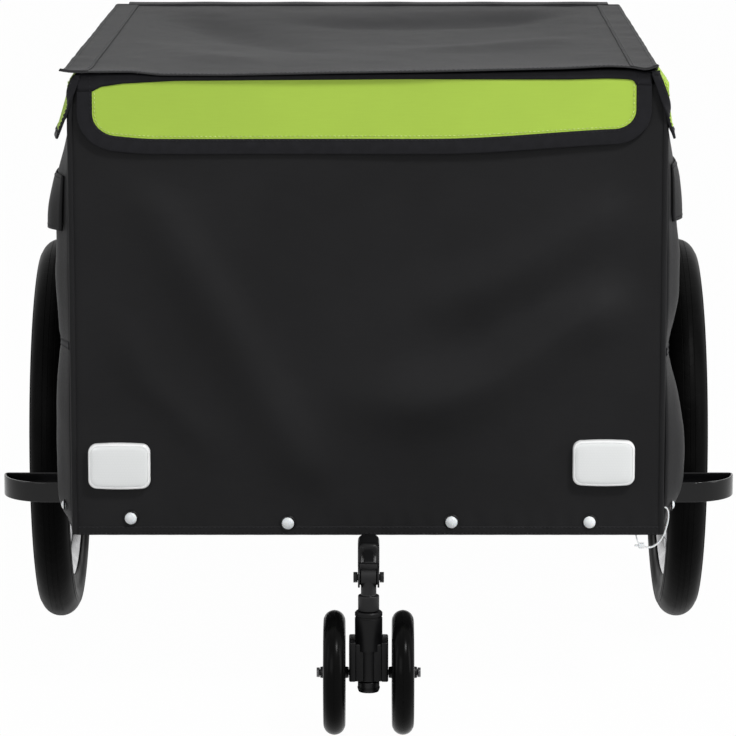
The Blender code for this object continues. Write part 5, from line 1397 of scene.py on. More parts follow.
def side_skirt_face(sign, attach, flare, edge):
    """The flap clears the cabin's corner below its shoulder and flares out.

    Its front end wraps round the corner as far as the slanted front edge, whose reach at the top and at
    the bottom is given.
    """
    top, rear, bend = ROOF - 0.0022, ROOF_BACK - 0.003, 0.0045
    ahead = FRONT - 0.0052
    width = rear - ahead

    def point(s, t):
        q = max(0.0, t / SIDE_DROP)
        rise = edge_lift(sign * 0.272) * 0.85 * bell(max(0.0, s - 0.012), 0.030) * (1 - q)
        z = top + rise - 0.0600 * q - 0.0006 * (1 - q)
        clear = attach + (SHOULDER - attach) * soft_step(z, *SHOULDER_RISE)
        start = edge[0] + (edge[1] - edge[0]) * q
        corner = max(clear, start + 0.0004)
        straight = max(0.0, corner - bend - start)
        turned = math.asin(min(1.0, max(0.0, 1 - (corner - start) / bend)))
        arc = bend * (math.pi / 2 - turned)
        if s < straight:
            x, y = start + s, ahead
        elif s < straight + arc:
            angle = turned + (s - straight) / bend
            x, y = corner - bend + bend * math.sin(angle), ahead + bend * (1 - math.cos(angle))
        else:
            back = (s - straight - arc) / (width - straight - arc) * (rear - ahead - bend)
            x, y = corner, ahead + bend + back
            x += (clear + flare * q ** 1.15 - corner) * soft_step(back, 0.0, 0.050)
            x += 0.0012 * math.sin(13 * s) * q * soft_step(back, 0.04, 0.14)
        return Vector((sign * x, y, z))
    return Face(width, SIDE_DROP, point, (sign, -0.6, 0))


for side, sign, attach, flare, edge in FLAPS:
    face = side_skirt_face(sign, attach, flare, edge)
    ends = round_ends(SIDE_DROP, 0.014, 0.001)
    flap = sheet(f"side_skirt_cloth_{side}", face, (150, 24), "green_polyester", "lid",
                 f"side_skirt_{side}", 0.0010, ends)
    inner = Face(face.width, face.height, lambda s, t, f=face: f.lifted(s, t, -0.0011), -face.outward)
    lining = sheet(f"side_skirt_lining_{side}", inner, (150, 20), "cloth_lining", "lid", (), 0.0003, ends)
    patch = Face(SIDE_BORDER, 0.0050, lambda s, t, f=face: f.lifted(s + 0.0002, t - 0.0008, 0.0012),
                 face.outward)
    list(flap_border(f"side_skirt_{side}", face, 0.010, "lid", SIDE_BORDER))
    sheet(f"side_skirt_top_band_{side}", patch, (20, 4), "binding_tape", "lid", (), 0.0020)

# %% Rear skirt
rear_low, rear_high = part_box("rear_skirt")
BEND = 0.003
FLAT_RUN = rear_high.y - rear_low.y - BEND
BENT_RUN = BEND * math.pi / 2


def rear_skirt_point(s, t):
    """From the rear rail over a small bend and down outside the cabin."""
    x = rear_high.x - s
    if t < FLAT_RUN:
        return Vector((x, rear_low.y + t, rear_high.z))
    if t < FLAT_RUN + BENT_RUN:
        angle = (t - FLAT_RUN) / BEND
        return Vector((x, rear_high.y - BEND + BEND * math.sin(angle),
                       rear_high.z - BEND + BEND * math.cos(angle)))
    down = t - FLAT_RUN - BENT_RUN
    sway = 0.0012 * (1 + math.sin(12 * x)) * soft_step(down, 0.0, 0.06)
    return Vector((x, rear_high.y + sway, rear_high.z - BEND - down))


rear_length = FLAT_RUN + BENT_RUN + (rear_high.z - BEND - rear_low.z)
rear_flap = Face(rear_high.x - rear_low.x, rear_length, rear_skirt_point, (0, 0.7, 0.7))
rear_skirt_cloth = sheet("rear_skirt_cloth", rear_flap, (110, 60), "green_polyester", "chassis",
                         "rear_skirt", 0.0014, round_ends(rear_length, 0.030, 0.001))
rear_trim = flap_border("rear_skirt", rear_flap, 0.026, "chassis")
path = level_row(rear_flap, 0.0050, 0.004, TAPE_GAP)
rear_trim.append(tape("rear_skirt_top_tape", rear_flap, path, 0.0095, 0.0018, "binding_tape", "chassis",
                      0.0002))
print("rear skirt", round(rear_length, 4))

# %% [markdown]
# Between the lid's cloth and the fixed rear flap lies the hinge line. On the real trailer a strip of
# cloth is sewn across it, so no rain gets in. The strip rides on neither body.

# %% Hinge strip
STRIP_START, STRIP_END = ROOF_BACK - 0.010, rear_low.y + 0.0065


HALF_STRIP = 0.272


def strip_point(s, t):
    x = s - HALF_STRIP
    arch = math.sin(math.pi * t / (STRIP_END - STRIP_START))
    return Vector((x, STRIP_START + t, ROOF + 0.0022 + 0.0010 * arch + 0.0004 * math.sin(60 * x) * arch))


strip_face = Face(2 * HALF_STRIP, STRIP_END - STRIP_START, strip_point, (0, 0, 1))
hinge_strip = sheet("hinge_strip", strip_face, (90, 26), "black_polyester", None, (), 0.0009)
print("hinge strip", round(STRIP_START, 4), "to", round(STRIP_END, 4))

# %% [markdown]
# A reflector is a clear lens in a moulded frame. Its long sides bow out a little and its face is
# slightly domed, which gives the soft bright band down its middle.

# %% Reflectors
CORNER_STEPS = 7


def lens_outline(width, height, corner, bow):
    """A rounded rectangle whose long sides bow out, as (x, z) round its middle."""
    points = []
    for k, (sx, sz) in enumerate(((1, 1), (-1, 1), (-1, -1), (1, -1))):
        for i in range(CORNER_STEPS + 1):
            angle = math.radians(90 * k + 90 * i / CORNER_STEPS)
            points.append((sx * (width / 2 - corner) + corner * math.cos(angle),
                           sz * (height / 2 - corner) + corner * math.sin(angle)))
        if k in (0, 2):
            points += [(sx * (width / 2 - corner) * f / 4, sz * height / 2) for f in (3, 2, 1, 0, -1, -2, -3)]
    return [(x, z * (1 + 2 * bow / height * (1 - min(1.0, abs(2 * x / width)) ** 2))) for x, z in points]


def stack(shape, outline, centre, toward, levels):
    """Rings of one outline, each shrunk by an amount and moved out by a depth, closed at both ends."""
    width = max(x for x, z in outline)
    height = max(z for x, z in outline)
    rings = [[shape.verts.new((centre[0] - toward * x * (1 - shrink / width), centre[1] + toward * depth,
                               centre[2] + z * (1 - shrink / height))) for x, z in outline]
             for shrink, depth in levels]
    layer = map_layer(shape)
    faces = []
    for a, b in zip(rings, rings[1:]):
        for k in range(len(a)):
            m = (k + 1) % len(a)
            faces.append(shape.faces.new((a[k], a[m], b[m], b[k])))
    faces += [shape.faces.new(rings[0]), shape.faces.new(rings[-1])]
    for face in faces:
        for loop in face.loops:
            loop[layer].uv = (loop.vert.co.x - centre[0], loop.vert.co.z - centre[2])
    return shape


LENS = lens_outline(0.0600, 0.0425, 0.0075, 0.0014)
RIM_LEVELS = [(0.0, GAP), (0.0, 0.0052), (0.0004, 0.0064), (0.0010, 0.0071), (0.0017, 0.0074),
              (0.0023, 0.0073), (0.0025, 0.0062), (0.0025, 0.0030)]
DOME_LEVELS = [(0.0024, 0.0040), (0.0024, 0.0071), (0.0030, 0.0075), (0.0060, 0.0078), (0.0120, 0.0081),
               (0.0200, 0.0082)]


def reflector(name, centre, toward, frame_finish, prisms, node):
    """Frame with a raised rim, and the domed lens inside it."""
    raised = stack(bmesh.new(), LENS, centre, toward, RIM_LEVELS)
    piece(f"{name}_frame", raised, frame_finish, "chassis", node, 50)
    domed = stack(bmesh.new(), LENS, centre, toward, DOME_LEVELS)
    piece(f"{name}_lens", domed, prisms, "chassis", (), 60)


for (side, sign), (x, z) in zip(SIDES, REFLECTORS):
    reflector(f"front_reflector_{side}", (x, FRONT, z), -1, "lens_frame", "white_prisms",
              f"reflector_front_{side}")
    at = middle(f"reflector_rear_{side}")
    reflector(f"rear_reflector_{side}", (at.x, REAR, at.z), 1, "red_frame", "red_prisms",
              f"reflector_rear_{side}")
print("reflectors at", REFLECTORS)

# %% [markdown]
# The bumper is flat strip bent into a D, with rounded edges and two rivets in each tab. Its outer end
# faces the studio lights in the photograph, so its gloss matters more than its colour.

# %% Wheel bumpers
bumper_low, bumper_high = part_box("bumper_right")
STRIP = 0.0025
TAB_REACH = 0.018
RIVET_STEP = 0.005
seat = HALF + GAP + STRIP / 2
near, far = FRONT + 0.102, FRONT + 0.152
reach = bumper_high.x - STRIP / 2
level = (bumper_low.z + bumper_high.z) / 2
rivets = []
for side, sign in SIDES:
    flat = [(seat, near - TAB_REACH), (seat, near), (reach, near), (reach, far), (seat, far),
            (seat, far + TAB_REACH)]
    corners = [(sign * x, y, level) for x, y in flat]
    path = evenly(fillet(corners, (0.0035, 0.044, 0.0035, 0.0035), 14), 0.006)
    section = bar(STRIP, bumper_high.z - bumper_low.z, 0.0009)
    piece(f"wheel_bumper_{side}", sweep(bmesh.new(), path, [(0, 0, 1)] * len(path), section), "bumper_gloss",
          "chassis", f"bumper_{side}", 50)
    outside = sign * (seat + STRIP / 2 - 0.0003)
    rivets += [(Vector((outside, y, z)), Vector((sign, 0, 0)))
               for y in (near - 0.010, far + 0.010) for z in (level - RIVET_STEP, level + RIVET_STEP)]
domes("bumper_rivets", rivets, 0.0030, 0.0013, "zinc_steel", "chassis", 16)
print("bumpers reach", round(bumper_high.x, 4))

# %% [markdown]
# A tyre is one closed outline turned round the axle: a round tread with three thin grooves, raised
# rings on the sidewalls, beads that sit inside the rim's flanges, and a lip over each flange. The
# photograph shows a smooth outline, so the tread has no blocks; its thin cuts are relief in the shader.

# %% Tyres
tyre_low, tyre_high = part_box("tyre_left")
TREAD = (tyre_high.x - tyre_low.x) / 2
CROWN = WHEEL.z - TREAD
BEAD = (0.1585, 0.0105)
OVER_RIM = 0.1645
TYRE_WALL = 0.0030
WRAP = 125
TREAD_MARKS = ((0.0, 1.8, 0.0003), (16.0, 1.8, 0.0003), (74.0, 2.6, -0.0004), (86.0, 2.0, -0.0003))
CASTER_MARKS = ((0.0, 1.6, -0.0002), (62.0, 3.0, 0.0003))


def tyre_arc(crown, tread, wrap, marks):
    """Round part of a tyre's outline. Marks are (degrees off the middle, half width, depth)."""
    angles = {float(a) for a in range(-wrap, wrap + 1, 5)}
    for place, half, depth in marks:
        for sign in (-1, 1):
            angles |= {sign * place + half * share for share in (-1.0, -0.55, 0.55, 1.0)}
    points = []
    for angle in sorted(angles, reverse=True):
        sunk = sum(depth * soft_step(half - abs(abs(angle) - place), 0.0, 0.45 * half)
                   for place, half, depth in marks)
        turn_by = math.radians(angle)
        points.append((crown + (tread - sunk) * math.cos(turn_by), (tread - sunk) * math.sin(turn_by)))
    return points


def below(points):
    """The same points on the other side of the middle, in the other order."""
    return [(radius, -height) for radius, height in points[::-1]]


RIM_LIP = [(OVER_RIM, BEAD[1]), (OVER_RIM, 0.0132), (0.1566, 0.0132), (0.1562, 0.0138), (0.1568, 0.0146),
           (0.1610, 0.0156)]
inner_wall = [(OVER_RIM, BEAD[1] - TYRE_WALL), (BEAD[0], BEAD[1] - TYRE_WALL)]
upper = [BEAD] + RIM_LIP
section = upper + tyre_arc(CROWN, TREAD, WRAP, TREAD_MARKS) + below(upper) + below(inner_wall)
section += tyre_arc(CROWN, TREAD - TYRE_WALL, WRAP, ())[::-1] + inner_wall
tread_middle = min(range(len(section)), key=lambda i: abs(section[i][1]) - 10 * section[i][0])
for side, sign in SIDES:
    at = (sign * abs(WHEEL.x), WHEEL.y, WHEEL.z)
    shape = turn(bmesh.new(), section, at, steps=144, ring=True, zero=tread_middle)
    piece(f"tyre_{side}_dressed", shape, "tyre_rubber", f"main_wheel_{side}", f"tyre_{side}", 40)
print("tyre outline points", len(section))

# %% [markdown]
# Spokes leave the hub flanges at a tangent, so that braking and pedalling forces pull on them instead
# of bending them. Every second spoke goes to the other flange, and every pair leans the other way, a
# little beside its neighbours, so that spokes pass each other. One tree turns edges into round rods.

# %% Rims, hubs and spokes
rod_tree, use = new_tree("round_rods", {
    "Thickness": ("Float", 0.0024), "Sides": ("Int", 10), "Finish": ("Material", None)})
line = add_node(rod_tree, "GeometryNodeMeshToCurve", None, {0: use["Geometry"]})
half_size = add_node(rod_tree, "ShaderNodeMath", {"operation": "MULTIPLY"}, {0: use["Thickness"], 1: 0.5})
ring = add_node(rod_tree, "GeometryNodeCurvePrimitiveCircle", {"mode": "RADIUS"},
                {"Resolution": use["Sides"], "Radius": half_size.outputs[0]})
rods = add_node(rod_tree, "GeometryNodeCurveToMesh", None,
                {"Curve": line.outputs[0], "Profile Curve": ring.outputs[0], "Fill Caps": True})
close_tree(rod_tree, rods.outputs[0], use["Finish"])

HALF_RIM = [(0.1442, 0.0050), (0.1552, 0.0130), (0.1642, 0.0130), (0.1642, 0.0108), (0.1582, 0.0108),
            (0.1532, 0.0058)]
HUB_END = 0.0220
HALF_HUB = [(0.0064, HUB_END), (0.0125, HUB_END), (0.0125, 0.0190), (0.0210, 0.0190), (0.0210, 0.0160),
            (0.0105, 0.0120)]
SPOKES = 20
HUB_HOLES, HUB_FLANGE = 0.0175, 0.0175
RIM_HOLES, RIM_SPREAD = 0.1462, 0.003
SPOKE_LEAD = math.radians(68)
SPOKE_PASS = 0.0016
NIPPLE = 0.011
HEAD_OUT = 0.0012
VALVE_ANGLE = 0.157
VALVE = (("stem", (0.1452, 0.1330, 0.1322), 0.0034, "caster_rubber"),
         ("cap", (0.1325, 0.1235, 0.1230), 0.0039, "moulded_plastic"))
to_axle = Vector((1, 0, 0)).to_track_quat("Z", "Y")


def on_circle(radius, angle, height):
    """A point in a wheel's own axes: its axle is z."""
    return Vector((radius * math.cos(angle), radius * math.sin(angle), height))


for side, sign in SIDES:
    body = f"main_wheel_{side}"
    at = Vector((sign * abs(WHEEL.x), WHEEL.y, WHEEL.z))
    rim = turn(bmesh.new(), rounded(mirrored(HALF_RIM), 0.0010, True), at, steps=144, ring=True)
    piece(f"rim_{side}", rim, "turned_alloy", body, f"wheel_{side}", 40)
    hub = turn(bmesh.new(), rounded(mirrored(HALF_HUB), 0.0008, True), at, steps=48, ring=True)
    piece(f"hub_{side}", hub, "zinc_steel", body, (), 40)
    wires, nipples, heads = [], [], []
    for i in range(SPOKES):
        flange = 1 if i % 2 else -1
        lead = 1 if (i // 2) % 2 else -1
        at_rim = 2 * math.pi * i / SPOKES
        start = on_circle(HUB_HOLES, at_rim + lead * SPOKE_LEAD, flange * HUB_FLANGE + lead * SPOKE_PASS)
        end = on_circle(RIM_HOLES, at_rim, flange * RIM_SPREAD + lead * SPOKE_PASS)
        wires += [at + to_axle @ start, at + to_axle @ end]
        nipples += [at + to_axle @ (end + (start - end).normalized() * NIPPLE), at + to_axle @ end]
        head = Vector((start.x, start.y, flange * HUB_FLANGE + flange * HEAD_OUT))
        heads.append((at + to_axle @ head, Vector((flange, 0, 0))))
    pairs = [(k, k + 1) for k in range(0, 2 * SPOKES, 2)]
    grown(f"spokes_{side}", wires, pairs, rod_tree, {"Thickness": 0.0023}, "zinc_steel", body)
    grown(f"nipples_{side}", nipples, pairs, rod_tree, {"Thickness": 0.0042, "Sides": 12}, "zinc_steel", body)
    domes(f"spoke_heads_{side}", heads, 0.0021, 0.0012, "zinc_steel", body, 12)
    way = to_axle @ on_circle(1.0, VALVE_ANGLE, 0)
    for part, radii, thick, finish in VALVE:
        made = sweep(bmesh.new(), [at + way * r for r in radii], [(1, 0, 0)] * 3, round_bar(thick, 20))
        piece(f"valve_{part}_{side}", made, finish, body, (), 50)
print("spokes", 2 * SPOKES)

# %% Axle nuts, caps and washers
NUT_AT = abs(WHEEL.x) + HUB_END + 0.0004
NUT = [(0.0063, 0.0), (0.0108, 0.0), (0.0108, 0.0052), (0.0098, 0.0062), (0.0063, 0.0062)]
TIP = [(0.0, 0.0), (0.0062, 0.0), (0.0062, 0.0072), (0.0052, 0.0081), (0.0, 0.0082)]
for side, sign in SIDES:
    end = Vector((sign * NUT_AT, WHEEL.y, WHEEL.z))
    nut = turn(bmesh.new(), NUT, end, (sign, 0, 0), steps=6, ring=True)
    piece(f"axle_nut_{side}", nut, "zinc_steel", "chassis", (), 30)
    tip = turn(bmesh.new(), TIP, end, (sign, 0, 0), steps=32)
    piece(f"axle_tip_{side}", tip, "zinc_steel", "chassis", (), 30)
print("axle ends at", round(NUT_AT, 4))

# %% [markdown]
# The caster's leg ends in a spindle. Its carrier is a moulded block: two cheeks for the axle and a
# round column between them, which the photograph shows as three upright bars below the housing. Where
# the arm comes out under the front rail, the photograph shows a dark rounded sleeve round it.

# %% Folding leg and swivel carrier
STEM, COLLAR, CAP = 0.0065, 0.010, 0.0102
leg = [(0.0073, 0.000), (0.0073, -0.0170), (COLLAR, -0.0170), (COLLAR, -0.0321), (STEM, -0.0321),
       (STEM, -0.1000), (CAP, -0.1000), (CAP, -0.1085), (0.0094, -0.1100)]
leg = [(0.0, 0.000), *rounded(leg, 0.0012), (0.0, -0.1100)]
fold = (0, PIVOT.y, PIVOT.z)
shape = turn(bmesh.new(), leg, fold, (0, 0, 1), steps=48)
eye = [(0.0, -0.008), (0.0070, -0.008), (0.008, -0.0070), (0.008, 0.0070), (0.0070, 0.008), (0.0, 0.008)]
turn(shape, eye, fold, (1, 0, 0), steps=40)
piece("caster_leg_dressed", shape, "powder_coat", "folding_leg", "caster_leg", 40)
rim_line = [(0.0101, -0.1052), (0.0106, -0.1056), (0.0106, -0.1070), (0.0101, -0.1074)]
ring_shape = turn(bmesh.new(), rim_line, fold, (0, 0, 1), steps=48, ring=True)
piece("caster_cap_ring", ring_shape, "moulded_plastic", "folding_leg", (), 30)

carrier_low, carrier_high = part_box("caster_carrier")
housing_foot = CASTER.z + 0.030
foot = carrier_low.z + 0.0058
CHEEK_INSIDE, COLUMN, HOUSING = 0.0118, 0.0106, 0.0130
shape = bmesh.new()
for sign in (-1, 1):
    near_x, far_x = sorted((sign * CHEEK_INSIDE, sign * carrier_high.x))
    block(shape, (near_x, carrier_low.y + 0.0015, foot), (far_x, carrier_high.y, CASTER.z + 0.035), 0.0014)
block(shape, (-HOUSING, carrier_low.y + 0.0030, foot), (HOUSING, carrier_high.y - 0.002, CASTER.z + 0.033),
      0.0014)
column = [(0.0, foot), (0.0098, foot), (COLUMN, foot + 0.001), (COLUMN, housing_foot), (0.0, housing_foot)]
turn(shape, column, (0, PIVOT.y - 0.0008, 0), (0, 0, 1), steps=40)
top = carrier_high.z
housing = [(0.0, housing_foot - 0.004), (HOUSING, housing_foot - 0.004), (HOUSING, top - 0.0065),
           (0.0124, top - 0.006), (0.0124, top - 0.0045), (HOUSING, top - 0.004), (HOUSING, top - 0.0012),
           (0.0119, top), (0.0, top)]
turn(shape, housing, (0, PIVOT.y, 0), (0, 0, 1), steps=48)
piece("caster_carrier_dressed", shape, "moulded_plastic", "swivel", "caster_carrier", 40)
print("carrier", [round(v, 4) for v in carrier_low], [round(v, 4) for v in carrier_high])

# %% Sleeve on the arm
SLEEVE_LOW, SLEEVE_HIGH = (-0.0104, FRONT - 0.062, 0.1420), (0.0104, FRONT - 0.016, 0.1722)
sleeve = block(bmesh.new(), SLEEVE_LOW, SLEEVE_HIGH, 0.0060, 5)
piece("arm_sleeve", sleeve, "moulded_plastic", "chassis", (), 40)
print("sleeve under the front rail", [round(v, 3) for v in SLEEVE_LOW])

# %% Caster wheels
def loose(name, shape):
    """A plain object of a bmesh, for a tool or a first shape that doesn't stay."""
    mesh = bpy.data.meshes.new(name)
    shape.to_mesh(mesh)
    shape.free()
    item = bpy.data.objects.new(name, mesh)
    bpy.context.scene.collection.objects.link(item)
    return item


def settled(item, kind, settings):
    """Add a modifier, keep what it makes as the object's own mesh, and remove it."""
    step = item.modifiers.new("step", kind)
    for key, value in settings.items():
        setattr(step, key, value)
    ready = item.evaluated_get(bpy.context.evaluated_depsgraph_get())
    item.data = bpy.data.meshes.new_from_object(ready)
    item.modifiers.remove(step)


def half_width(node):
    """Half of a solid's box along x."""
    low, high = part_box(node)
    return (high.x - low.x) / 2


HALF_CASTER = half_width("caster_tyre_left") - 0.0008
BOSS = half_width("caster_hub_left")
HALF_CASTER_HUB = [(0.0034, BOSS), (0.0052, BOSS), (0.0066, 0.0027), (0.0150, 0.0022), (0.0352, 0.0027),
                   (0.0362, 0.0083), (0.0400, 0.0083)]
CASTER_SEAT = [(0.0403, 0.0085)]
HOLES, HOLE, HOLE_CIRCLE = 5, 0.0074, 0.0215
caster_section = CASTER_SEAT + tyre_arc(CASTER.z - HALF_CASTER, HALF_CASTER, 90, CASTER_MARKS)
caster_section += below(CASTER_SEAT)
for side, sign in SIDES:
    body = f"caster_wheel_{side}"
    at = middle(f"caster_tyre_{side}")
    shape = turn(bmesh.new(), caster_section, at, steps=96, ring=True)
    piece(f"caster_tyre_{side}_dressed", shape, "caster_rubber", body, f"caster_tyre_{side}", 50)
    shape = turn(bmesh.new(), rounded(mirrored(HALF_CASTER_HUB), 0.0007, True), at, steps=80, ring=True)
    hub = piece(f"caster_hub_{side}_dressed", shape, "moulded_plastic", body, f"caster_hub_{side}", 40)
    holes = bmesh.new()
    for k in range(HOLES):
        angle = 2 * math.pi * k / HOLES
        place = Matrix.Translation(at + Vector((0, math.cos(angle), math.sin(angle))) * HOLE_CIRCLE)
        bmesh.ops.create_cone(holes, cap_ends=True, segments=28, radius1=HOLE, radius2=HOLE, depth=0.04,
                              matrix=place @ Matrix.Rotation(math.pi / 2, 4, "Y"))
    cutter = loose(f"hub_holes_{side}", holes)
    settled(hub, "BOOLEAN", {"operation": "DIFFERENCE", "solver": "EXACT", "object": cutter})
    bpy.data.objects.remove(cutter)
    hub.data.set_sharp_from_angle(angle=math.radians(35))
print("caster wheels done")

# %% [markdown]
# The seat is a sling: coated cloth that runs over the front hoop, down to a low line and up to the rear
# rail. Everything on it, pads, straps and buckle, is placed along the same two straight runs.

# %% Lines of the seat
SLING = 0.0020
HOOP = 0.009
HOOP_AT = Vector((0, middle("seat_hoop").y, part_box("seat_hoop")[1].z - HOOP))
RING = HOOP + GAP + SLING / 2
CORNER = Vector((0, FRONT + 0.612, rail_high.z + 0.041))
run = CORNER - HOOP_AT
ahead = run.normalized()
lean = math.acos(RING / run.length)
TOUCH = HOOP_AT + RING * (math.cos(lean) * ahead + math.sin(lean) * Vector((0, -ahead.z, ahead.y)))
SEAT_WAY = (CORNER - TOUCH).normalized()
SEAT_UP = Vector((0, -SEAT_WAY.z, SEAT_WAY.y))
LIP = TOUCH + SEAT_WAY * ((HOOP_AT.y - RING - TOUCH.y) / SEAT_WAY.y)
rear_rail_low, rear_rail_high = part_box("top_rail_rear")
BACK_TOP = Vector((0, rear_rail_low.y - GAP - SLING / 2, rear_rail_high.z - 0.0468))
BACK_WAY = (BACK_TOP - CORNER).normalized()
BACK_UP = Vector((0, -BACK_WAY.z, BACK_WAY.y))
sling_ends = (Vector((0, LIP.y, HOOP_AT.z - 2 * HOOP)), Vector((0, BACK_TOP.y, rear_rail_high.z - 0.002)))
print("seat leans", round(math.degrees(math.atan2(BACK_WAY.y, BACK_WAY.z)), 1), "degrees back")


# %% Sling
class Track:
    """A path that is asked by running length."""

    def __init__(self, points):
        self.points = points
        self.runs = distances(points)

    def at(self, run):
        """Point and direction at a running length; it goes on straight past both ends."""
        index = 0
        while index < len(self.points) - 2 and run > self.runs[index + 1]:
            index += 1
        first, last = self.points[index], self.points[index + 1]
        way = (last - first).normalized()
        return first + way * (run - self.runs[index]), way


sling_track = Track(fillet([sling_ends[0], LIP, CORNER, BACK_TOP, sling_ends[1]], (RING, 0.045, 0.030), 10))
SLING_WIDTH = 0.400


def sling_point(s, t):
    at, way = sling_track.at(t)
    up = Vector((0, -way.z, way.y))
    x = SLING_WIDTH / 2 - s
    slack = 0.0003 * noise.noise((x * 20, t * 14, 4.0))
    return Vector((x, at.y, at.z)) + up * (SLING / 2 - 0.0002 + slack)


sling_face = Face(SLING_WIDTH, sling_track.runs[-1], sling_point, (0, -0.7, 0.7))
sling_cloth = sheet("sling_cloth", sling_face, (60, 150), "seat_polyester", "chassis", "seat_sling", 0.0017)
for side, s in (("left", 0.006), ("right", SLING_WIDTH - 0.006)):
    path = upright_row(sling_face, s, 0.002, TAPE_GAP)
    tape(f"sling_edge_{side}", sling_face, path, 0.012, 0.0026, "binding_tape", "chassis", -0.0006)
    rows = [[Vector((s + w, p.y)) for p in path] for w in (-0.0042, 0.0042)]
    stitches(f"sling_stitches_{side}", sling_face, rows, "black_thread", "chassis", 0.0007)
rows = [level_row(sling_face, t, 0.014) for t in (0.010, sling_face.height - 0.010)]
stitches("sling_end_stitches", sling_face, rows, "black_thread", "chassis")
print("sling", round(sling_face.height, 3), "m long")

# %% [markdown]
# The pads are foam in a cloth cover. A thin shell is blown up as cloth for twenty frames, as sewing and
# stuffing would, and each point may only move so far. Remeshing loses fine seams, so the sewn channels,
# the drawn-in sides and the piping come after it.

# %% Pads blown up as cloth
PAD_WIDTH = 0.360
PAD_HEIGHT = 0.026
PAD_PULL = 0.012
FRAMES = 20
AIR_REACH = 0.009


def blown(item):
    """Blow an object up with the air of a cloth simulation, and cap how far its points move."""
    air = item.modifiers.new("air", "CLOTH")
    air.settings.quality = 6
    air.settings.use_pressure = True
    air.settings.uniform_pressure_force = 4.0
    air.settings.effector_weights.gravity = 0.0
    air.settings.tension_stiffness = 12.0
    air.settings.compression_stiffness = 12.0
    air.settings.bending_stiffness = 0.3
    for number in range(1, FRAMES + 1):
        bpy.context.scene.frame_set(number)
    ready = item.evaluated_get(bpy.context.evaluated_depsgraph_get())
    ends = [vert.co.copy() for vert in ready.data.vertices]
    item.modifiers.remove(air)
    for vert, end in zip(item.data.vertices, ends):
        move = end - vert.co
        vert.co += move * min(1.0, AIR_REACH / max(move.length, 1e-9))
    bpy.context.scene.frame_set(1)


def pad_shape(length):
    """A pad in its own axes: x across, y along and z up from what it rests on."""
    shape = bmesh.new()
    block(shape, (-PAD_WIDTH / 2 + 0.010, -length / 2 + 0.010, 0.006),
          (PAD_WIDTH / 2 - 0.010, length / 2 - 0.010, 0.020), 0.005, 2)
    item = loose("pad_shell", shape)
    settled(item, "REMESH", {"mode": "VOXEL", "voxel_size": 0.0055})
    blown(item)
    settled(item, "SUBSURF", {"levels": 1})
    shape = bmesh.new()
    shape.from_mesh(item.data)
    bpy.data.objects.remove(item)
    lows, highs = ([pick(v.co[k] for v in shape.verts) for k in range(3)] for pick in (min, max))
    size = [high - low for low, high in zip(lows, highs)]
    channels = [length * (k / 4 - 0.5) for k in (1, 2, 3)]
    for vert in shape.verts:
        x, y = vert.co.x * PAD_WIDTH / size[0], vert.co.y * length / size[1]
        u, v = 2 * x / PAD_WIDTH, 2 * y / length
        x -= math.copysign(PAD_PULL * (1 - min(1.0, v * v)) * abs(u) ** 3, x)
        y -= math.copysign(PAD_PULL * (1 - min(1.0, u * u)) * abs(v) ** 3, y)
        share = (vert.co.z - lows[2]) / size[2]
        crown = 0.62 + 0.38 * (1 - min(1.0, abs(u)) ** 4) * (1 - min(1.0, abs(v)) ** 4)
        sewn = max(bell(y - at, 0.0055) for at in channels) * soft_step(1 - abs(u), 0.0, 0.06)
        fine = 0.0006 * noise.noise((x * 30, y * 30, length)) * (1 - sewn)
        z = share * PAD_HEIGHT * crown * (1 - 0.34 * sewn) + (fine if share > 0.5 else 0.0)
        vert.co = Vector((x, y, max(0.0, z)))
    return shape, channels


print("pads are simulated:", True)

# %% Pads on the sling
def to_place(origin, along, up):
    """The move from a pad's own axes to its place on the seat."""
    across = along.cross(up)
    return Matrix.Translation(origin) @ Matrix((across, along, up)).transposed().to_4x4()


def planted(shape, length):
    """Lay a pad's map out flat, with its sides running on from the top."""
    layer = map_layer(shape)
    for face in shape.faces:
        for loop in face.loops:
            loop[layer].uv = (loop.vert.co.x, loop.vert.co.y + loop.vert.co.z + length)


PIPING_HEIGHT = 0.0085


def make_pad(name, node, length, origin, along, up):
    """The pad, its piping, and the thread in its channels."""
    shape, channels = pad_shape(length)
    planted(shape, length)
    tree = BVHTree.FromBMesh(shape)
    place = to_place(origin, along, up)
    down, above = Vector((0, 0, -1)), Vector((0, 0, 0.0003))
    seams = []
    for at in channels:
        row = [tree.ray_cast(Vector((x / 1000, at, 0.1)), down)[0] for x in range(-158, 159, 4)]
        seams.append([place @ (p + above) for p in row if p])
    edge = []
    for x, y in round_bar(1.0, 120):
        way = Vector((x * PAD_WIDTH, y * length, 0)).normalized()
        hit = tree.ray_cast(way * 0.4 + Vector((0, 0, PIPING_HEIGHT)), -way)[0]
        edge.append(place @ (hit + way * 0.0004))
    bmesh.ops.transform(shape, matrix=place, verts=shape.verts)
    pad = piece(name, shape, "seat_polyester", "chassis", node, 80)
    piece(f"{name}_piping", sweep(bmesh.new(), edge, [up] * len(edge), round_bar(0.0017, 10), True),
          "binding_tape", "chassis")
    grown(f"{name}_channel_stitches", *joined(seams), stitch_tree, PAD_STITCH, "black_thread", "chassis")
    return pad


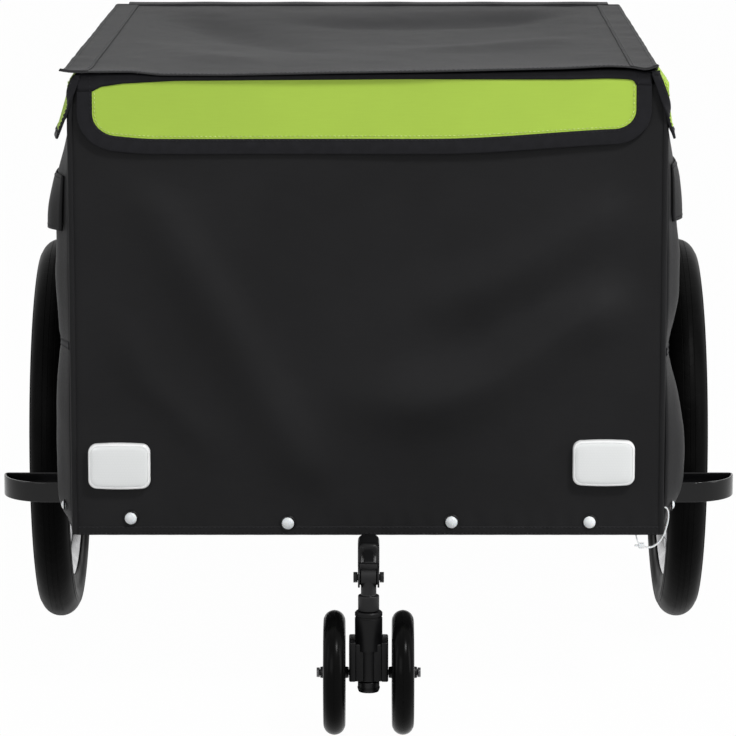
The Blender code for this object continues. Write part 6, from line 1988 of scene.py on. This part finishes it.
REST = SLING / 2 + GAP
SEAT_LENGTH, BACK_LENGTH = 0.200, 0.255
seat_start = TOUCH + SEAT_WAY * 0.010
back_start = CORNER + BACK_WAY * 0.060
seat_middle = seat_start + SEAT_WAY * SEAT_LENGTH / 2 + SEAT_UP * REST
back_middle = back_start + BACK_WAY * BACK_LENGTH / 2 + BACK_UP * REST
seat_cushion = make_pad("seat_cushion", "seat_pad", SEAT_LENGTH, seat_middle, SEAT_WAY, SEAT_UP)
back_cushion = make_pad("back_cushion", "back_pad", BACK_LENGTH, back_middle, BACK_WAY, BACK_UP)
print("pads", len(seat_cushion.data.polygons), len(back_cushion.data.polygons))

# %% Harness
STRAP = (0.020, 0.0018)
OVER = REST + PAD_HEIGHT + 2 * GAP
BUCKLE = (0.048, 0.060, 0.014)
buckle_at = seat_start + SEAT_WAY * (SEAT_LENGTH * 0.60) + SEAT_UP * (OVER + BUCKLE[2] / 2)
strap_end = buckle_at + SEAT_WAY * (BUCKLE[1] / 2 + STRAP[1] / 2 + GAP)
harness = []
for side, sign in SIDES:
    wide = Vector((sign * 0.075, 0, 0))
    narrow = Vector((sign * (STRAP[0] / 2 + 2 * GAP), 0, 0))
    high = back_start + BACK_WAY * (BACK_LENGTH + PAD_PULL)
    corners = [high + BACK_UP * (REST + STRAP[1] / 2) + wide,
               back_start + BACK_WAY * (BACK_LENGTH - 2 * STRAP[1]) + BACK_UP * (OVER + STRAP[1]) + wide,
               back_start + BACK_UP * (OVER + 0.003) + wide / 2, strap_end + narrow]
    path = evenly(fillet(corners, (PAD_HEIGHT, 2 * PAD_HEIGHT), 8), 0.005)
    ways = [(b - a).normalized() for a, b in zip(path, path[1:])]
    ups = [Vector((1, 0, 0)).cross(way) for way in ways + ways[-1:]]
    shape = sweep(bmesh.new(), path, ups, bar(STRAP[0], STRAP[1], 0.0006))
    strap = piece(f"harness_strap_{side}", shape, "harness_webbing", "chassis", f"shoulder_strap_{side}", 50)
    harness.append((strap, distances(path)[-1]))
place = to_place(buckle_at, SEAT_WAY, SEAT_UP)
half_buckle = Vector(BUCKLE) / 2
shape = block(bmesh.new(), -half_buckle, half_buckle, 0.0045, 5)
block(shape, (-0.0215, half_buckle.y - 0.012, -0.003), (0.0215, half_buckle.y + 0.0004, 0.003), 0.0014)
bmesh.ops.transform(shape, matrix=place, verts=shape.verts)
piece("buckle_body", shape, "moulded_plastic", "chassis", "harness_buckle", 40)
COLLAR_LINE = [(0.0118, 0.0066), (0.0130, 0.0066), (0.0130, 0.0076), (0.0124, 0.0079), (0.0118, 0.0076)]
BUTTON_LINE = [(0.0, 0.0082), (0.0070, 0.0080), (0.0100, 0.0074), (0.0108, 0.0066), (0.0108, 0.0040),
               (0.0, 0.0040)]
shape = turn(bmesh.new(), COLLAR_LINE, (0, 0, 0), (0, 0, 1), steps=48, ring=True)
turn(shape, BUTTON_LINE, (0, 0, 0), (0, 0, 1), steps=48)
bmesh.ops.transform(shape, matrix=place, verts=shape.verts)
piece("buckle_button", shape, "moulded_plastic", "chassis", (), 35)
print("harness straps", [round(length, 3) for strap, length in harness])

# %% [markdown]
# Small hardware comes last: the rod in the lid, weld beads where the tubes meet, a ring in the hitch pin,
# and the white cable tie that the photograph shows round the right front corner of the base frame.

# %% Rod of the lid
hoop_low, hoop_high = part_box("roof_hoop")
ROD = 0.003
rod_x = hoop_high.x - ROD
rod_front, rod_rear = hoop_low.y + ROD, hoop_high.y - ROD
rod_z = (hoop_low.z + hoop_high.z) / 2
REAR_BEND = 0.008
PIN = 0.040
pin_x = rod_x - REAR_BEND - PIN
half_rod = [(rod_x, rod_front), (rod_x, rod_rear), (pin_x, rod_rear)]
corners = [(-x, y, rod_z) for x, y in half_rod[::-1]] + [(x, y, rod_z) for x, y in half_rod]
path = evenly(fillet(corners, (REAR_BEND, 0.030, 0.030, REAR_BEND), 10), 0.02)
piece("lid_rod", sweep(bmesh.new(), path, [(0, 0, 1)] * len(path), round_bar(ROD, 20)), "powder_coat", "lid",
      "roof_hoop", 50)
print("rod", round(rod_x, 4), round(rod_z, 4))

# %% Weld beads
TUBE = 0.0103
TUBE_EDGE = 0.0025


def square_loop(centre, across, up):
    """Points round the end of a square tube."""
    points = []
    for k, (sx, sy) in enumerate(((1, 1), (-1, 1), (-1, -1), (1, -1))):
        for i in range(5):
            angle = math.radians(90 * k + 90 * i / 4)
            x = sx * (TUBE - TUBE_EDGE) + TUBE_EDGE * math.cos(angle)
            y = sy * (TUBE - TUBE_EDGE) + TUBE_EDGE * math.sin(angle)
            points.append(Vector(centre) + Vector(across) * x + Vector(up) * y)
    return points


WELD_IN = 0.0004
SLEEVE_WELD = 0.0134
loops = []
for node in ("post_front_left", "post_front_right", "post_rear_left", "post_rear_right"):
    low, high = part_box(node)
    at = middle(node)
    loops += [square_loop((at.x, at.y, z), (1, 0, 0), (0, 1, 0))
              for z in (low.z + WELD_IN, high.z - WELD_IN)]
for node in ("cross_tube_front", "cross_tube_rear"):
    low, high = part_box(node)
    at = middle(node)
    loops += [square_loop((x, at.y, at.z), (0, 1, 0), (0, 0, 1))
              for x in (low.x + WELD_IN, high.x - WELD_IN)]
weld("frame_welds", loops, "chassis", 0.0038)
rings = [[Vector((sign * (HALF + 0.0028), WHEEL.y + y, WHEEL.z + z)) for y, z in round_bar(SLEEVE_WELD, 24)]
         for side, sign in SIDES]
weld("sleeve_welds", rings, "chassis", 0.0032)
print("welds", len(loops) + len(rings))

# %% Hitch ring and spring button
RING_RADIUS, WIRE = 0.0072, 0.0008
at = middle("hitch_pin")
ring_at = (at.x, at.y - 0.0040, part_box("hitch_pin")[1].z + 0.0004)
ring_section = [(RING_RADIUS + x, y) for x, y in round_bar(WIRE, 10)]
shape = turn(bmesh.new(), ring_section, ring_at, (0.25, 0, 1), steps=48, ring=True)
piece("hitch_pin_ring", shape, "zinc_steel", "pin", (), 50)
receiver_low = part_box("tow_receiver")[0]
button_at = Vector((receiver_low.x, receiver_low.y + 0.022, middle("tow_bar_outer").z))
domes("spring_button", [(button_at, Vector((-1, 0, 0)))], 0.0040, 0.0034, "zinc_steel", "chassis")
print("hitch ring at", [round(v, 4) for v in at])

# %% Cable tie
TIE_Y = FRONT + 0.0040
TIE_STEPS = 6
tie_line = [(0.2905, 0.1905), (0.2908, 0.1808), (0.2868, 0.1669), (0.2820, 0.1589), (0.2743, 0.1540),
            (0.2646, 0.1559), (0.2602, 0.1640), (0.2592, 0.1790), (0.2612, 0.1930), (0.2760, 0.1938),
            (0.2865, 0.1940)]
loop = [Vector((x, TIE_Y, z)) for x, z in tie_line]
smooth_loop = []
for a, b, c, d in zip(loop[-1:] + loop[:-1], loop, loop[1:] + loop[:1], loop[2:] + loop[:2]):
    for t in [k / TIE_STEPS for k in range(TIE_STEPS)]:
        square = (2 * a - 5 * b + 4 * c - d) * t ** 2
        cube = (3 * b - a - 3 * c + d) * t ** 3
        smooth_loop.append(0.5 * (2 * b + (c - a) * t + square + cube))
shape = sweep(bmesh.new(), smooth_loop, [(0, 1, 0)] * len(smooth_loop), bar(0.0013, 0.0040, 0.0004), True)
block(shape, (0.2622, TIE_Y - 0.0030, 0.1532), (0.2680, TIE_Y + 0.0030, 0.1578), 0.0007)
block(shape, (0.2585, TIE_Y - 0.0014, 0.1549), (0.2630, TIE_Y + 0.0014, 0.1562), 0.0004)
piece("cable_tie", shape, "white_nylon", "chassis", (), 40)
print("cable tie points", len(smooth_loop))

# %% [markdown]
# The loops below only look up the cabin's faces and the straps, and the hinge strip gets its place
# written into its vertices.

# %% Faces, straps and the hinge strip's place
for name in ("front", "rear"):
    face = cabin_faces[name]
for (side, sign), (strap, length) in zip(SIDES, harness):
    face = side_faces[side]
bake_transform(hinge_strip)

# %% [markdown]
# The picture is a cut-out on pure white, lit softly from above and from both sides. The floor is white
# to the camera and in mirrors, but still plain and matte to light, so that a faint shadow lies under the
# wheels. The world does the same.

# %% Floor
floor_mesh = bpy.data.meshes.new("floor")
SPAN = 16.0
corners = [(-SPAN, -SPAN, 0), (SPAN, -SPAN, 0), (SPAN, SPAN, 0), (-SPAN, SPAN, 0)]
floor_mesh.from_pydata(corners, [], [(0, 1, 2, 3)])
floor = bpy.data.objects.new("floor", floor_mesh)
bpy.context.scene.collection.objects.link(floor)
floor.location.z = -0.0008


def seen_directly(tree):
    """1 for rays from the camera, from mirrors and through glass, 0 for light on its way."""
    rays = add_node(tree, "ShaderNodeLightPath")
    either = add_node(tree, "ShaderNodeMath", {"operation": "MAXIMUM"},
                      {0: rays.outputs["Is Camera Ray"], 1: rays.outputs["Is Glossy Ray"]})
    return add_node(tree, "ShaderNodeMath", {"operation": "MAXIMUM"},
                    {0: either.outputs[0], 1: rays.outputs["Is Transmission Ray"]}).outputs[0]


FLOOR_TONE = 0.70
FLOOR_WHITE = 0.985
stage_material = bpy.data.materials.new("studio_floor")
stage_material.use_nodes = True
tree = stage_material.node_tree
tree.nodes.clear()
matte = add_node(tree, "ShaderNodeBsdfDiffuse", None, {"Color": (FLOOR_TONE,) * 3 + (1,)})
white = add_node(tree, "ShaderNodeEmission", None, {"Color": (1, 1, 1, 1), "Strength": 1.0})
share = add_node(tree, "ShaderNodeMath", {"operation": "MULTIPLY"},
                 {0: seen_directly(tree), 1: FLOOR_WHITE})
both = add_node(tree, "ShaderNodeMixShader", None,
                {0: share.outputs[0], 1: matte.outputs[0], 2: white.outputs[0]})
add_node(tree, "ShaderNodeOutputMaterial", None, {0: both.outputs[0]})
floor_mesh.materials.append(stage_material)
print("floor at", round(floor.location.z, 4))

# %% World and lights
WORLD_LIGHT = 0.28
world = bpy.data.worlds.new("studio")
bpy.context.scene.world = world
world.use_nodes = True
tree = world.node_tree
tree.nodes.clear()
level = add_node(tree, "ShaderNodeMapRange", None, {0: seen_directly(tree), 3: WORLD_LIGHT, 4: 1.0})
sky = add_node(tree, "ShaderNodeBackground", None, {"Color": (1, 1, 1, 1), "Strength": level.outputs[0]})
add_node(tree, "ShaderNodeOutputWorld", None, {0: sky.outputs[0]})


TOWARD = Vector((0, 0, 0.35))


def softbox(name, place, size, power):
    """An area light that looks at a point inside the cabin."""
    data = bpy.data.lights.new(name, "AREA")
    data.shape = "RECTANGLE"
    data.size, data.size_y = size
    data.energy = power
    item = bpy.data.objects.new(name, data)
    bpy.context.scene.collection.objects.link(item)
    item.location = place
    item.rotation_euler = (TOWARD - Vector(place)).to_track_quat("-Z", "Y").to_euler()


softbox("light_key", (1.30, -1.70, 2.70), (0.50, 0.50), 58)
softbox("light_fill", (-1.60, -3.20, 1.60), (1.6, 1.6), 20)
softbox("light_above", (-0.30, 0.30, 2.70), (2.0, 2.0), 4)
softbox("light_left", (-2.60, -1.00, 1.20), (0.8, 1.8), 8)
softbox("light_right", (2.60, -1.00, 1.20), (0.8, 1.8), 20)
